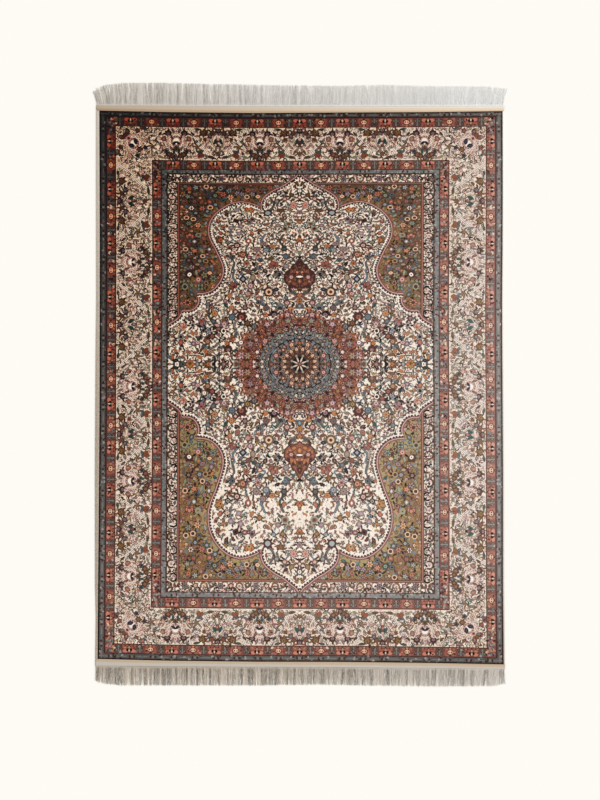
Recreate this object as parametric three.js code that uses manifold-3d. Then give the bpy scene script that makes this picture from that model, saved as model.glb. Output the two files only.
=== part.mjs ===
// Hand-knotted silk carpet lying flat, in millimetres, +Z up.
// X runs across the carpet, Y along it towards the head end, and the underside lies in z = 0.
import * as THREE from 'three';
import { mergeVertices } from 'three/addons/utils/BufferGeometryUtils.js';
import Module from 'manifold-3d';

// Cloth sizes
const PILE_THICKNESS = 4.4;
const PILE_EDGE_THICKNESS = 3.6;
const PILE_EDGE_WIDTH = 9;
const KILIM_THICKNESS = 1.7;
const PILE_STEP = 1.5;
const PILE_WAVE = 0.22;
const WAVE_ACROSS = 410;
const WAVE_ALONG = 530;
const NEAR_SIDE = 695;
const BODY_COLUMNS = 17;
const PILE_ROWS = 24;

// Side cord sizes
const CORD_HEIGHT = 3.8;
const CORD_SHOULDER = 0.62;
const CORD_COLUMNS = 4;

// Fringe sizes
const STRIP_WIDTH = 6.2;
const STRIP_HEIGHT = 2.6;
const STRIP_COLUMNS = 24;
const LOCKS = 124;
const LOCK_WIDTH = 8.6;
const LOCK_TIP_WIDTH = 6.2;
const LOCK_HEIGHT = 2.2;
const LOCK_TIP_HEIGHT = 1.3;
const LOCK_ROOT_DEPTH = 3;
const LOCK_STEPS = 3;
const LOCK_SWAY = 0.8;
const LOCK_RAG = 1.6;
const LOCK_LEAN_CURVE = 1.4;
const STRIP_INSET = 1;
const GAP = 0.42;

// Where the side table is read for the two ends, and how close points are joined
const END_ALONG = 950;
const JOIN_DISTANCE = 1e-5;

// Steps of the rule that makes the locks uneven
const RAG_INDEX_STEP = 12.9898;
const RAG_SEED_STEP = 78.233;
const RAG_SCALE = 43758.5453;

// Distances of the long edges from the pattern's middle line
const SIDES = [
  { along: 950, leftCord: -701.4, leftPile: -690.3, rightPile: 699.3, rightCord: 704.9 },
  { along: 700, leftCord: -701.7, leftPile: -689.4, rightPile: 699.7, rightCord: 705.2 },
  { along: 480, leftCord: -701.3, leftPile: -688.6, rightPile: 699.0, rightCord: 704.5 },
  { along: 300, leftCord: -701.0, leftPile: -688.8, rightPile: 697.2, rightCord: 702.8 },
  { along: 120, leftCord: -703.0, leftPile: -689.1, rightPile: 697.9, rightCord: 703.4 },
  { along: -45, leftCord: -704.1, leftPile: -689.3, rightPile: 699.0, rightCord: 704.6 },
  { along: -300, leftCord: -705.4, leftPile: -690.9, rightPile: 700.4, rightCord: 706.0 },
  { along: -480, leftCord: -705.2, leftPile: -692.3, rightPile: 700.4, rightCord: 706.0 },
  { along: -690, leftCord: -704.9, leftPile: -694.3, rightPile: 700.4, rightCord: 706.1 },
  { along: -800, leftCord: -702.6, leftPile: -695.2, rightPile: 701.7, rightCord: 707.4 },
  { along: -950, leftCord: -704.9, leftPile: -696.2, rightPile: 703.1, rightCord: 708.6 },
];

// Where the pile and the flat-woven ends stop, along the carpet
const ENDS = [
  { across: -700, headPile: 952.9, headWeave: 969.6, footPile: -938.4, footWeave: -962.6 },
  { across: -450, headPile: 947.4, headWeave: 969.0, footPile: -944.6, footWeave: -964.8 },
  { across: -150, headPile: 944.3, headWeave: 967.4, footPile: -948.1, footWeave: -966.4 },
  { across: 150, headPile: 946.0, headWeave: 967.4, footPile: -948.8, footWeave: -968.0 },
  { across: 450, headPile: 947.4, headWeave: 968.2, footPile: -952.2, footWeave: -970.6 },
  { across: 700, headPile: 950.8, headWeave: 968.8, footPile: -957.0, footWeave: -974.0 },
];

// Tips of the fringe and the sideways lean of its locks, by the place of the root
const HEAD_FRINGE = [
  { across: -698, tip: 1020, lean: -13 },
  { across: -680, tip: 1035, lean: -12 },
  { across: -650, tip: 1045, lean: -7 },
  { across: -600, tip: 1050, lean: -2 },
  { across: -480, tip: 1050.5, lean: 0 },
  { across: -340, tip: 1047, lean: 0 },
  { across: -67, tip: 1041.5, lean: 1 },
  { across: 140, tip: 1039.8, lean: 0 },
  { across: 280, tip: 1043, lean: 0 },
  { across: 415, tip: 1039.5, lean: 0 },
  { across: 640, tip: 1037.5, lean: 4 },
  { across: 700, tip: 1031, lean: 13 },
];
const FOOT_FRINGE = [
  { across: -700, tip: -1016, lean: -4 },
  { across: -675, tip: -1026, lean: -2 },
  { across: -620, tip: -1031.5, lean: 0 },
  { across: -150, tip: -1032, lean: 0 },
  { across: 60, tip: -1028.6, lean: 0 },
  { across: 230, tip: -1032.2, lean: 0 },
  { across: 480, tip: -1035.3, lean: 0 },
  { across: 680, tip: -1034, lean: -2 },
  { across: 704, tip: -1026, lean: 0 },
];

const COLOURS = {
  pile: 0x8d6f58,
  cord: 0xb9a894,
  fringe: 0xd6cec4,
};

// A value read off a table, with straight lines between its rows
function read(table, key, at, column) {
  const rows = [...table].sort((a, b) => a[key] - b[key]);
  const first = rows[0];
  const last = rows[rows.length - 1];
  if (at <= first[key]) return first[column];
  if (at >= last[key]) return last[column];
  const upper = rows.findIndex((row) => row[key] >= at);
  const from = rows[upper - 1];
  const to = rows[upper];
  const share = (at - from[key]) / (to[key] - from[key]);
  return THREE.MathUtils.lerp(from[column], to[column], share);
}

// A box divided into columns and rows, whose points are then put in their places
function shapedBox(columns, rows, place) {
  const box = new THREE.BoxGeometry(1, 1, 1, columns, rows, 1);
  box.deleteAttribute('normal');
  box.deleteAttribute('uv');
  const geometry = mergeVertices(box, JOIN_DISTANCE);
  const points = geometry.attributes.position;
  for (let i = 0; i < points.count; i += 1) {
    const column = Math.round((points.getX(i) + 0.5) * columns);
    const row = Math.round((points.getY(i) + 0.5) * rows);
    const top = points.getZ(i) > 0;
    points.setXYZ(i, ...place(column, row, top));
  }
  return geometry;
}

function namedMesh(name, geometry, colour) {
  const shaded = geometry.toNonIndexed();
  shaded.computeVertexNormals();
  const material = new THREE.MeshStandardMaterial({ color: colour, roughness: 0.6, metalness: 0 });
  const mesh = new THREE.Mesh(shaded, material);
  mesh.name = name;
  return mesh;
}

// The woven cloth: pile between two flat-woven ends, in one piece
function clothRows() {
  const rows = [
    { from: 'footWeave', shift: 0, pile: false },
    { from: 'footPile', shift: -PILE_STEP, pile: false },
    { from: 'footPile', shift: 0, pile: true },
    { from: 'footPile', shift: PILE_EDGE_WIDTH, pile: true },
  ];
  for (let i = 1; i < PILE_ROWS; i += 1) {
    rows.push({ share: i / PILE_ROWS, pile: true });
  }
  rows.push({ from: 'headPile', shift: -PILE_EDGE_WIDTH, pile: true });
  rows.push({ from: 'headPile', shift: 0, pile: true });
  rows.push({ from: 'headPile', shift: PILE_STEP, pile: false });
  rows.push({ from: 'headWeave', shift: 0, pile: false });
  return rows;
}

function rowPlace(row, across) {
  if (row.from) return read(ENDS, 'across', across, row.from) + row.shift;
  const foot = read(ENDS, 'across', across, 'footPile');
  const head = read(ENDS, 'across', across, 'headPile');
  return THREE.MathUtils.lerp(foot, head, row.share);
}

function columnShare(column) {
  const edge = PILE_EDGE_WIDTH / (2 * NEAR_SIDE);
  if (column === 0) return 0;
  if (column === BODY_COLUMNS) return 1;
  return THREE.MathUtils.lerp(edge, 1 - edge, (column - 1) / (BODY_COLUMNS - 2));
}

function clothBody() {
  const rows = clothRows();
  return shapedBox(BODY_COLUMNS, rows.length - 1, (column, index, top) => {
    const row = rows[index];
    const left = read(SIDES, 'along', rowPlace(row, -NEAR_SIDE), row.pile ? 'leftPile' : 'leftCord');
    const right = read(SIDES, 'along', rowPlace(row, NEAR_SIDE), row.pile ? 'rightPile' : 'rightCord');
    const x = THREE.MathUtils.lerp(left, right, columnShare(column));
    const y = rowPlace(row, x);
    if (!top) return [x, y, 0];
    if (!row.pile) return [x, y, KILIM_THICKNESS];
    const atSide = column === 0 || column === BODY_COLUMNS;
    const atEnd = row.from && row.shift === 0;
    if (atSide || atEnd) return [x, y, PILE_EDGE_THICKNESS];
    const wave = Math.sin(x / WAVE_ACROSS * 2 * Math.PI) * Math.cos(y / WAVE_ALONG * 2 * Math.PI);
    return [x, y, PILE_THICKNESS + PILE_WAVE * wave];
  });
}

// An overcast cord along one side, between the flat-woven ends
function sideCord(pileColumn, cordColumn) {
  const away = pileColumn === 'leftPile' ? -GAP : GAP;
  const corner = Math.sign(away) * NEAR_SIDE;
  const foot = read(ENDS, 'across', corner, 'footPile');
  const head = read(ENDS, 'across', corner, 'headPile');
  return shapedBox(CORD_COLUMNS, PILE_ROWS, (column, row, top) => {
    const even = THREE.MathUtils.lerp(foot, head, row / PILE_ROWS);
    const y = THREE.MathUtils.clamp(even, foot + GAP, head - GAP);
    const inner = read(SIDES, 'along', y, pileColumn) + away;
    const outer = read(SIDES, 'along', y, cordColumn);
    const from = Math.min(inner, outer);
    const to = Math.max(inner, outer);
    const share = column / CORD_COLUMNS;
    const x = THREE.MathUtils.lerp(from, to, share);
    const crown = Math.sin(Math.PI * share);
    const height = CORD_HEIGHT * THREE.MathUtils.lerp(CORD_SHOULDER, 1, crown);
    return [x, y, top ? height : 0];
  });
}

// Ragged lengths and sideways sway, the same each time
function rag(index, seed) {
  const turn = Math.sin(index * RAG_INDEX_STEP + seed * RAG_SEED_STEP) * RAG_SCALE;
  return (turn - Math.floor(turn)) * 2 - 1;
}

// One lock of fringe threads: three-sided, flat underneath, with a ridge along its top
function lockGeometry(stations) {
  const positions = [];
  for (const { x, y, width, height } of stations) {
    positions.push(x - width / 2, y, 0);
    positions.push(x + width / 2, y, 0);
    positions.push(x, y, height);
  }
  const faces = [0, 1, 2];
  for (let step = 0; step + 1 < stations.length; step += 1) {
    for (let corner = 0; corner < 3; corner += 1) {
      const a = step * 3 + corner;
      const b = step * 3 + (corner + 1) % 3;
      faces.push(a, a + 3, b, b, a + 3, b + 3);
    }
  }
  const last = (stations.length - 1) * 3;
  faces.push(last, last + 2, last + 1);
  const geometry = new THREE.BufferGeometry();
  geometry.setAttribute('position', new THREE.Float32BufferAttribute(positions, 3));
  geometry.setIndex(faces);
  return geometry;
}

const wasm = await Module();
wasm.setup();

// A closed solid whose faces are turned outwards before it is joined
function toSolid(geometry, flipped) {
  const points = Float32Array.from(geometry.attributes.position.array);
  const faces = Uint32Array.from(geometry.index.array);
  if (flipped) {
    for (let i = 0; i < faces.length; i += 3) {
      [faces[i], faces[i + 1]] = [faces[i + 1], faces[i]];
    }
  }
  return new wasm.Manifold(new wasm.Mesh({ numProp: 3, vertProperties: points, triVerts: faces }));
}

function fromSolid(solid) {
  const mesh = solid.getMesh();
  const geometry = new THREE.BufferGeometry();
  geometry.setAttribute('position', new THREE.Float32BufferAttribute(mesh.vertProperties, 3));
  geometry.setIndex(new THREE.Uint32BufferAttribute(mesh.triVerts, 1));
  return geometry;
}

// A fringe: a knotted root strip and the locks that leave it, resting on the floor
function fringe(weaveColumn, table, seed) {
  const outward = Math.sign(table[0].tip);
  const end = outward * END_ALONG;
  const left = read(SIDES, 'along', end, 'leftCord') + STRIP_INSET;
  const right = read(SIDES, 'along', end, 'rightCord') - STRIP_INSET;
  const stripEdge = (x, out) => {
    const weave = read(ENDS, 'across', x, weaveColumn);
    return weave + outward * (GAP + out * STRIP_WIDTH);
  };
  const strip = shapedBox(STRIP_COLUMNS, 1, (column, row, top) => {
    const x = THREE.MathUtils.lerp(left, right, column / STRIP_COLUMNS);
    const out = outward > 0 ? row : 1 - row;
    return [x, stripEdge(x, out), top ? STRIP_HEIGHT : 0];
  });
  let solid = toSolid(strip, false);
  const pitch = (right - left) / LOCKS;
  for (let i = 0; i < LOCKS; i += 1) {
    const rootX = left + pitch * (i + 0.5);
    const rootY = stripEdge(rootX, 1) - outward * LOCK_ROOT_DEPTH;
    const tipY = read(table, 'across', rootX, 'tip') - outward * LOCK_RAG * (1 + rag(i, seed)) / 2;
    const tipX = rootX + read(table, 'across', rootX, 'lean');
    const stations = [];
    for (let step = 0; step <= LOCK_STEPS; step += 1) {
      const share = step / LOCK_STEPS;
      const sway = LOCK_SWAY * Math.sin(Math.PI * share) * rag(i, seed + 1);
      stations.push({
        x: THREE.MathUtils.lerp(rootX, tipX, share ** LOCK_LEAN_CURVE) + sway,
        y: THREE.MathUtils.lerp(rootY, tipY, share),
        width: THREE.MathUtils.lerp(LOCK_WIDTH, LOCK_TIP_WIDTH, share ** 2),
        height: THREE.MathUtils.lerp(LOCK_HEIGHT, LOCK_TIP_HEIGHT, share),
      });
    }
    solid = solid.add(toSolid(lockGeometry(stations), outward < 0));
  }
  return fromSolid(solid);
}

const carpet = new THREE.Group();
carpet.add(namedMesh('carpet_body', clothBody(), COLOURS.pile));
carpet.add(namedMesh('selvedge_left', sideCord('leftPile', 'leftCord'), COLOURS.cord));
carpet.add(namedMesh('selvedge_right', sideCord('rightPile', 'rightCord'), COLOURS.cord));
carpet.add(namedMesh('fringe_head', fringe('headWeave', HEAD_FRINGE, 3), COLOURS.fringe));
carpet.add(namedMesh('fringe_foot', fringe('footWeave', FOOT_FRINGE, 8), COLOURS.fringe));

// The origin goes under the middle of the whole carpet
const reach = new THREE.Box3().setFromObject(carpet);
const middle = reach.getCenter(new THREE.Vector3());
carpet.position.set(-middle.x, -middle.y, 0);
carpet.updateMatrixWorld(true);

export default carpet;
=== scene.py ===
# Hand-knotted silk carpet lying on a pale floor, in metres
import math
import random
from types import SimpleNamespace

import bpy
import numpy as np
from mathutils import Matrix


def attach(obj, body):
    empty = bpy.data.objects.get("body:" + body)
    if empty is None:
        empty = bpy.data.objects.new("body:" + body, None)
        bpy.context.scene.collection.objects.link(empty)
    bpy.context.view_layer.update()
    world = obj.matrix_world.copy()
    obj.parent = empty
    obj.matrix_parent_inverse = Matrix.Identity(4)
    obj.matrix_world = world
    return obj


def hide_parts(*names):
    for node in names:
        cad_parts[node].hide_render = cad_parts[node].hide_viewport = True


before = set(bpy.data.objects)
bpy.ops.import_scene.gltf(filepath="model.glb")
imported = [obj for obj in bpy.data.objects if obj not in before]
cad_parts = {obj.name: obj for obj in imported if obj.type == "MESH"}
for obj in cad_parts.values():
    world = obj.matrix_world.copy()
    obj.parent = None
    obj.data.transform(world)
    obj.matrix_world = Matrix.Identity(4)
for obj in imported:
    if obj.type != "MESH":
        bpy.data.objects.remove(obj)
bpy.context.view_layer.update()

# Knot chart of one half, in squares of 3.45 mm from the pattern's middle, each three knots wide

KNOTS = 3
HALF_COLUMNS = 604
FOOT_ROWS = 298 * KNOTS
HEAD_ROWS = 252 * KNOTS
QUARTER_ACROSS = 133
QUARTER_ALONG = 232

# Rows of the foot half, and the rows of the shorter head half where the same parts of the pattern come

FOOT_MARKS = (0, 38, 52.6, 73.6, 96.8, 151, 186, 216, 243, 280, 297)
HEAD_MARKS = (0, 39, 53, 70, 93.5, 132, 156, 180, 204, 236, 252)

SILKS = {
    "ivory": (234, 211, 187),
    "cream": (250, 233, 214),
    "peach": (228, 178, 142),
    "pink": (206, 158, 148),
    "blush": (218, 188, 166),
    "salmon": (198, 120, 96),
    "orange": (186, 106, 58),
    "gold": (152, 110, 60),
    "tan": (168, 130, 94),
    "brown": (112, 70, 42),
    "umber": (58, 36, 27),
    "maroon": (115, 66, 57),
    "wine": (60, 31, 29),
    "red": (148, 78, 63),
    "rust": (126, 68, 44),
    "brick": (146, 90, 73),
    "black": (12, 10, 12),
    "slate": (76, 82, 84),
    "ash": (112, 113, 108),
    "grey": (150, 143, 136),
    "stone": (92, 84, 78),
    "navy": (26, 34, 54),
    "steel": (92, 108, 118),
    "sky": (150, 160, 158),
    "teal": (40, 70, 66),
    "olive": (124, 92, 52),
    "moss": (86, 66, 42),
    "straw": (150, 130, 82),
    "sage": (138, 138, 112),
    "taupe": (134, 114, 98),
    "mauve": (138, 104, 108),
    "lilac": (158, 148, 150),
}
SILK_NAMES = list(SILKS)
SILK = {name: place for place, name in enumerate(SILK_NAMES)}


def read_table(text):
    """Rows of a table written as words in columns, the first line naming the columns."""
    lines = text.strip().splitlines()
    names = lines[0].split()
    rows = []
    for line in lines[1:]:
        row = SimpleNamespace()
        for name, word in zip(names, line.split()):
            setattr(row, name, word if word[0].isalpha() else float(word))
        rows.append(row)
    return rows


def changed(row, **columns):
    """A copy of a table's row with some of its columns changed."""
    return SimpleNamespace(**{**vars(row), **columns})


class KnotChart:
    """A weaver's squared drawing: for each knot, the place of its silk in SILK_NAMES."""

    def __init__(self, columns, rows, first_row, ground):
        self.cells = np.full((rows, columns), SILK[ground], dtype=np.uint8)
        self.first_row = first_row
        self.rows = rows
        self.columns = columns

    def window(self, across, along, reach):
        """The part of the chart within reach of a place, and its offsets in squares."""
        left = max(0, int((across - reach) * KNOTS))
        right = min(self.columns, int((across + reach) * KNOTS) + 2)
        low = max(0, int((along - reach) * KNOTS) - self.first_row)
        high = min(self.rows, int((along + reach) * KNOTS) + 2 - self.first_row)
        if left >= right or low >= high:
            return None
        x = (np.arange(left, right) + 0.5) / KNOTS - across
        y = (np.arange(low, high) + self.first_row + 0.5) / KNOTS - along
        return self.cells[low:high, left:right], x[None, :], y[:, None]

    def everywhere(self):
        x = (np.arange(self.columns) + 0.5) / KNOTS
        y = (np.arange(self.rows) + self.first_row + 0.5) / KNOTS
        return x[None, :], y[:, None]

    def lattice(self, pitch):
        """Places over the whole chart, a pitch apart."""
        along = self.first_row / KNOTS
        while along < (self.first_row + self.rows) / KNOTS:
            across = 0.0
            while across < self.columns / KNOTS:
                yield across, along
                across += pitch
            along += pitch


def turned(x, y, degrees):
    angle = math.radians(degrees)
    return x * math.cos(angle) + y * math.sin(angle), y * math.cos(angle) - x * math.sin(angle)


def off(x, y, reach, degrees):
    """A place at a distance and in a direction from another."""
    angle = math.radians(degrees)
    return x + reach * math.cos(angle), y + reach * math.sin(angle)


# Plain shapes: each is given by its middle, half its length and width, its turn and its silk

def fill(chart, across, along, long, wide, turn, silk, test):
    """A silk laid where a test of the steps along and beside a direction holds."""
    found = chart.window(across, along, max(long, wide) + 0.5)
    if found:
        cells, x, y = found
        cells[test(*turned(x, y, turn))] = SILK[silk]


def oval(chart, across, along, long, wide, turn, silk):
    half_long = max(long, 0.2)
    half_wide = max(wide, 0.2)

    def test(u, v):
        return (u / half_long) ** 2 + (v / half_wide) ** 2 < 1

    fill(chart, across, along, long, wide, turn, silk, test)


def lens(chart, across, along, long, wide, turn, silk):
    def test(u, v):
        return np.abs(v) < wide * np.clip(1 - (u / long) ** 2, 0, None)

    fill(chart, across, along, long, wide, turn, silk, test)


def kite(chart, across, along, long, wide, turn, silk):
    def test(u, v):
        return np.abs(u) / long + np.abs(v) / wide < 1

    fill(chart, across, along, long, wide, turn, silk, test)


def petals(chart, across, along, radius, count, turn, silk, depth=0.3):
    """A disc with a scalloped edge."""
    found = chart.window(across, along, radius + 0.5)
    if found:
        cells, x, y = found
        angle = np.arctan2(y, x) - math.radians(turn)
        edge = radius * (1 - depth * np.abs(np.sin(angle * count / 2)))
        cells[x ** 2 + y ** 2 < edge ** 2] = SILK[silk]


def stroke(chart, points, width, silk):
    """A line of knots along a row of points, with a step of a third of a square."""
    for (x0, y0), (x1, y1) in zip(points, points[1:]):
        steps = max(1, int(math.hypot(x1 - x0, y1 - y0) * KNOTS))
        for step in range(steps + 1):
            share = step / steps
            oval(chart, x0 + (x1 - x0) * share, y0 + (y1 - y0) * share, width, width, 0, silk)


# Forms of the motifs: m is a row of a table, and bare numbers are squares or shares of its length or width

def draw_rose(chart, m, edge):
    count = max(4, round(m.wide))
    petals(chart, m.x, m.y, m.long + 0.9, count, m.turn, edge, 0.36)
    petals(chart, m.x, m.y, m.long, count, m.turn, m.outer, 0.5)
    for number in range(count):
        between = off(m.x, m.y, m.long * 0.62, m.turn + 180 / count + number * 360 / count)
        oval(chart, *between, 0.4, 0.4, 0, edge)
    oval(chart, m.x, m.y, m.long * 0.44, m.long * 0.44, 0, m.inner)
    oval(chart, m.x, m.y, m.long * 0.14, m.long * 0.14, 0, edge)


def draw_ring(chart, m, edge):
    for share, silk in ((1, m.outer), (0.62, m.inner), (0.24, edge)):
        oval(chart, m.x, m.y, m.long * share, m.wide * share, 0, silk)


def draw_oval(chart, m, edge):
    oval(chart, m.x, m.y, m.long, m.wide, m.turn, m.outer)


def draw_lens(chart, m, edge):
    lens(chart, m.x, m.y, m.long, m.wide, m.turn, m.outer)


def draw_stem(chart, m, edge):
    lens(chart, m.x, m.y, m.long / 2, m.wide / 2, m.turn, m.outer)


def draw_bud(chart, m, edge):
    lens(chart, m.x, m.y, m.long / 2 + 1.3, m.wide / 2 + 0.8, m.turn, edge)
    lens(chart, m.x, m.y, m.long / 2 + 0.5, m.wide / 2 + 0.1, m.turn, m.outer)
    lens(chart, m.x, m.y, m.long / 4, m.wide / 5, m.turn, m.inner)


def draw_leaf(chart, m, edge):
    lens(chart, m.x, m.y, m.long / 2 + 0.8, m.wide / 2 + 0.5, m.turn, edge)
    lens(chart, m.x, m.y, m.long / 2 + 0.2, m.wide / 2, m.turn, m.outer)
    lens(chart, m.x, m.y, m.long / 3, 0.2, m.turn, m.inner)


def draw_kite(chart, m, edge):
    kite(chart, m.x, m.y, m.long / 2 + 0.5, m.wide / 2 + 0.5, m.turn, edge)
    kite(chart, m.x, m.y, m.long / 2, m.wide / 2, m.turn, m.outer)
    kite(chart, m.x, m.y, m.long / 4, m.wide / 4, m.turn, m.inner)


def draw_lotus(chart, m, edge):
    """A palmette of five pointed petals round a core, opening towards its turn."""
    for spread, share in ((-95, 0.75), (95, 0.75), (-50, 0.92), (50, 0.92), (0, 1.0)):
        reach = m.long * share * 0.5
        middle = off(m.x, m.y, reach, m.turn + spread)
        lens(chart, *middle, reach + 0.9, m.wide * 0.24 + 0.75, m.turn + spread, edge)
        lens(chart, *middle, reach + 0.2, m.wide * 0.24, m.turn + spread, m.outer)
    oval(chart, m.x, m.y, m.long * 0.36, m.wide * 0.3, m.turn, m.inner)
    oval(chart, m.x, m.y, m.long * 0.13, m.wide * 0.12, m.turn, edge)


def draw_hook(chart, m, edge):
    """A curled leaf: a disc with a smaller one taken from the side that it opens to."""
    found = chart.window(m.x, m.y, m.long + 1)
    if found:
        cells, x, y = found
        u, v = turned(x, y, m.turn)
        disc = u ** 2 + v ** 2 < m.long ** 2
        bite = (u - m.long * 0.55) ** 2 + v ** 2 < (m.long * 0.85) ** 2
        dot = (u - m.long * 0.25) ** 2 + v ** 2 < (m.long * 0.3) ** 2
        cells[disc & ~bite] = SILK[m.outer]
        cells[dot] = SILK[m.inner]


def draw_tulip(chart, m, edge):
    """A bell of two petals on a small base."""
    for spread in (-26, 26):
        reach = m.long * 0.36
        middle = off(m.x, m.y, reach, m.turn + spread)
        lens(chart, *middle, reach + 0.7, m.wide * 0.26 + 0.3, m.turn + spread, edge)
        lens(chart, *middle, reach + 0.4, m.wide * 0.26, m.turn + spread, m.outer)
    base = off(m.x, m.y, m.long * 0.16, m.turn + 180)
    oval(chart, *base, m.long * 0.22, m.wide * 0.26, m.turn, m.inner)


def draw_whorl(chart, m, edge):
    """A large rosette: scalloped rings one inside another, soft and pale, with short rays between them."""
    count = round(m.wide)
    for share, silk, turn in (
        (1.04, "taupe", 0), (0.98, "cream", 0), (0.90, "mauve", 0), (0.84, "blush", 0), (0.68, m.outer, 1),
        (0.62, "cream", 1), (0.54, m.inner, 1), (0.47, "blush", 1), (0.34, "taupe", 0), (0.28, "cream", 0),
    ):
        petals(chart, m.x, m.y, m.long * share, count, m.turn + turn * 180 / count, silk, 0.2)
        if share in (0.84, 0.47):
            for number in range(count * 3):
                ray = m.turn + number * 120 / count
                silk = ("brown", "pink", "mauve")[number % 3]
                spot = off(m.x, m.y, m.long * (share - 0.10), ray)
                lens(chart, *spot, m.long * 0.09, 0.5, ray + 15, silk)


def draw_curl(chart, m, edge):
    """A thin stem bent round, open towards its turn, with a bud in the bend."""
    spots = [off(m.x, m.y, m.long, m.turn + 65 + step * 28.75) for step in range(9)]
    stroke(chart, spots, m.wide / 2, m.outer)
    oval(chart, m.x, m.y, m.long * 0.4, m.long * 0.3, m.turn + 90, m.inner)


FORMS = {
    "rose": draw_rose,
    "ring": draw_ring,
    "dot": draw_oval,
    "oval": draw_oval,
    "lens": draw_lens,
    "stem": draw_stem,
    "vine": draw_stem,
    "bud": draw_bud,
    "leaf": draw_leaf,
    "kite": draw_kite,
    "lotus": draw_lotus,
    "hook": draw_hook,
    "tulip": draw_tulip,
    "whorl": draw_whorl,
    "curl": draw_curl,
}

SPRIG_SILKS = ("umber", "black", "slate", "maroon", "moss", "umber", "wine", "steel")


def sprigs(chart, x, y, reach, lean, silks=SPRIG_SILKS, base=0, way=1):
    """Five leaves that stand out round a flower; which way they lean is given."""
    for number in range(5):
        turn = base + way * (lean + number * 72 + 14 * math.sin(number * 9 + lean))
        silk = silks[int(lean + number * 3) % len(silks)]
        lens(chart, *off(x, y, reach, turn), 2.3, 0.95, turn + way * 24, silk)


def sprig_reach(m):
    return m.long + 1.5 if m.form == "rose" else m.long * 0.5 + 2.4


def draw_motifs(chart, table, edge, leafy=False):
    if leafy:
        for m in table:
            if m.form in ("rose", "lotus", "ring", "bud"):
                sprigs(chart, m.x, m.y, sprig_reach(m), (m.x * 37 + m.y * 23) % 360)
    for m in table:
        FORMS[m.form](chart, m, edge)


# Lines

def smooth(points, steps=6):
    """A smooth line through points, with as many steps between two of them."""
    line = []
    last = len(points) - 1
    for i in range(last):
        near = (points[max(0, i - 1)], points[i], points[i + 1], points[min(last, i + 2)])
        for step in range(steps):
            t = step / steps
            weights = (
                -0.5 * t + t ** 2 - 0.5 * t ** 3,
                1 - 2.5 * t ** 2 + 1.5 * t ** 3,
                0.5 * t + 2 * t ** 2 - 1.5 * t ** 3,
                -0.5 * t ** 2 + 0.5 * t ** 3,
            )
            x = sum(w * p[0] for w, p in zip(weights, near))
            y = sum(w * p[1] for w, p in zip(weights, near))
            line.append((x, y))
    line.append(points[last])
    return line


def inside_line(chart, line):
    """Which knots lie inside a closed row of points, by the even-odd rule."""
    x, y = chart.everywhere()
    inside = np.zeros(chart.cells.shape, dtype=bool)
    for (x0, y0), (x1, y1) in zip(line, line[1:] + line[:1]):
        if y0 == y1:
            continue
        crossing = (y0 > y) != (y1 > y)
        at = x0 + (y - y0) * (x1 - x0) / (y1 - y0)
        inside ^= crossing & (x < at)
    return inside


def inside_oval(chart, reach):
    x, y = chart.everywhere()
    return (x / reach[0]) ** 2 + (y / reach[1]) ** 2 < 1


def shifted(line, distance):
    """A line moved sideways by a distance, for the rows beside an outline."""
    moved = []
    last = len(line) - 1
    for i, (x, y) in enumerate(line):
        x0, y0 = line[max(0, i - 1)]
        x1, y1 = line[min(last, i + 1)]
        length = math.hypot(x1 - x0, y1 - y0) or 1
        moved.append((x + (y1 - y0) / length * distance, y - (x1 - x0) / length * distance))
    return moved


BEAD = (1.15, 0.85)


def beads(chart, line, pitch, silk, other):
    """Small beads along a line, two silks in turn."""
    left = 0.0
    number = 0
    for (x0, y0), (x1, y1) in zip(line, line[1:]):
        length = math.hypot(x1 - x0, y1 - y0)
        at = left
        while at < length:
            x = x0 + (x1 - x0) * at / length
            y = y0 + (y1 - y0) * at / length
            turn = math.degrees(math.atan2(y1 - y0, x1 - x0))
            oval(chart, x, y, *BEAD, turn, silk if number % 2 == 0 else other)
            number += 1
            at += pitch
        left = at - length


# Parts of the chart that small leaves are kept to

SMALL_BORDER_ACROSS = 122.4
SMALL_BORDER_ALONG = 217.4


def always(x, y):
    return True


def near_middle(x, y):
    return y < 118


def in_small_border(x, y):
    return x > SMALL_BORDER_ACROSS or y > SMALL_BORDER_ALONG


def in_main_border(x, y):
    return x > 149.8 or y > 246 or y < -205


def in_head_field(x, y):
    return y < -70 and x < 120


def in_head_border(x, y):
    return y < -181 or (x > SMALL_BORDER_ACROSS and y < 0)


# Small leaves and blossoms laid wherever mostly ground shows

def mostly_ground(chart, x, y, reach, ground, share):
    found = chart.window(x, y, reach)
    return bool(found) and np.isin(found[0], [SILK[name] for name in ground]).mean() >= share


def strew(chart, seed, pitch, ground, silks, chance, inside=always, long=(2.0, 4.2), share=0.7,
          width=(0.55, 0.95)):
    """Curled leaf strokes, each a row of five ovals, fuller near its root."""
    draw = random.Random(seed)
    for across, along in chart.lattice(pitch):
        x = across + draw.uniform(-0.5, 0.5) * pitch
        y = along + draw.uniform(-0.5, 0.5) * pitch
        reach = draw.uniform(*long)
        turn = draw.uniform(0, 360)
        curl = draw.choice((-1, 1)) * draw.uniform(25, 60)
        silk = draw.choice(silks)
        wide = draw.uniform(*width)
        wanted = draw.random() < chance
        if wanted and inside(x, y) and mostly_ground(chart, x, y, 1.2, ground, share):
            for step in range(5):
                place = step / 4 - 0.5
                size = wide * (1.0 - 0.55 * abs(step / 4 - 0.35))
                oval(chart, *off(x, y, place * reach, turn + curl * place * 2), size, size, 0, silk)


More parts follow.
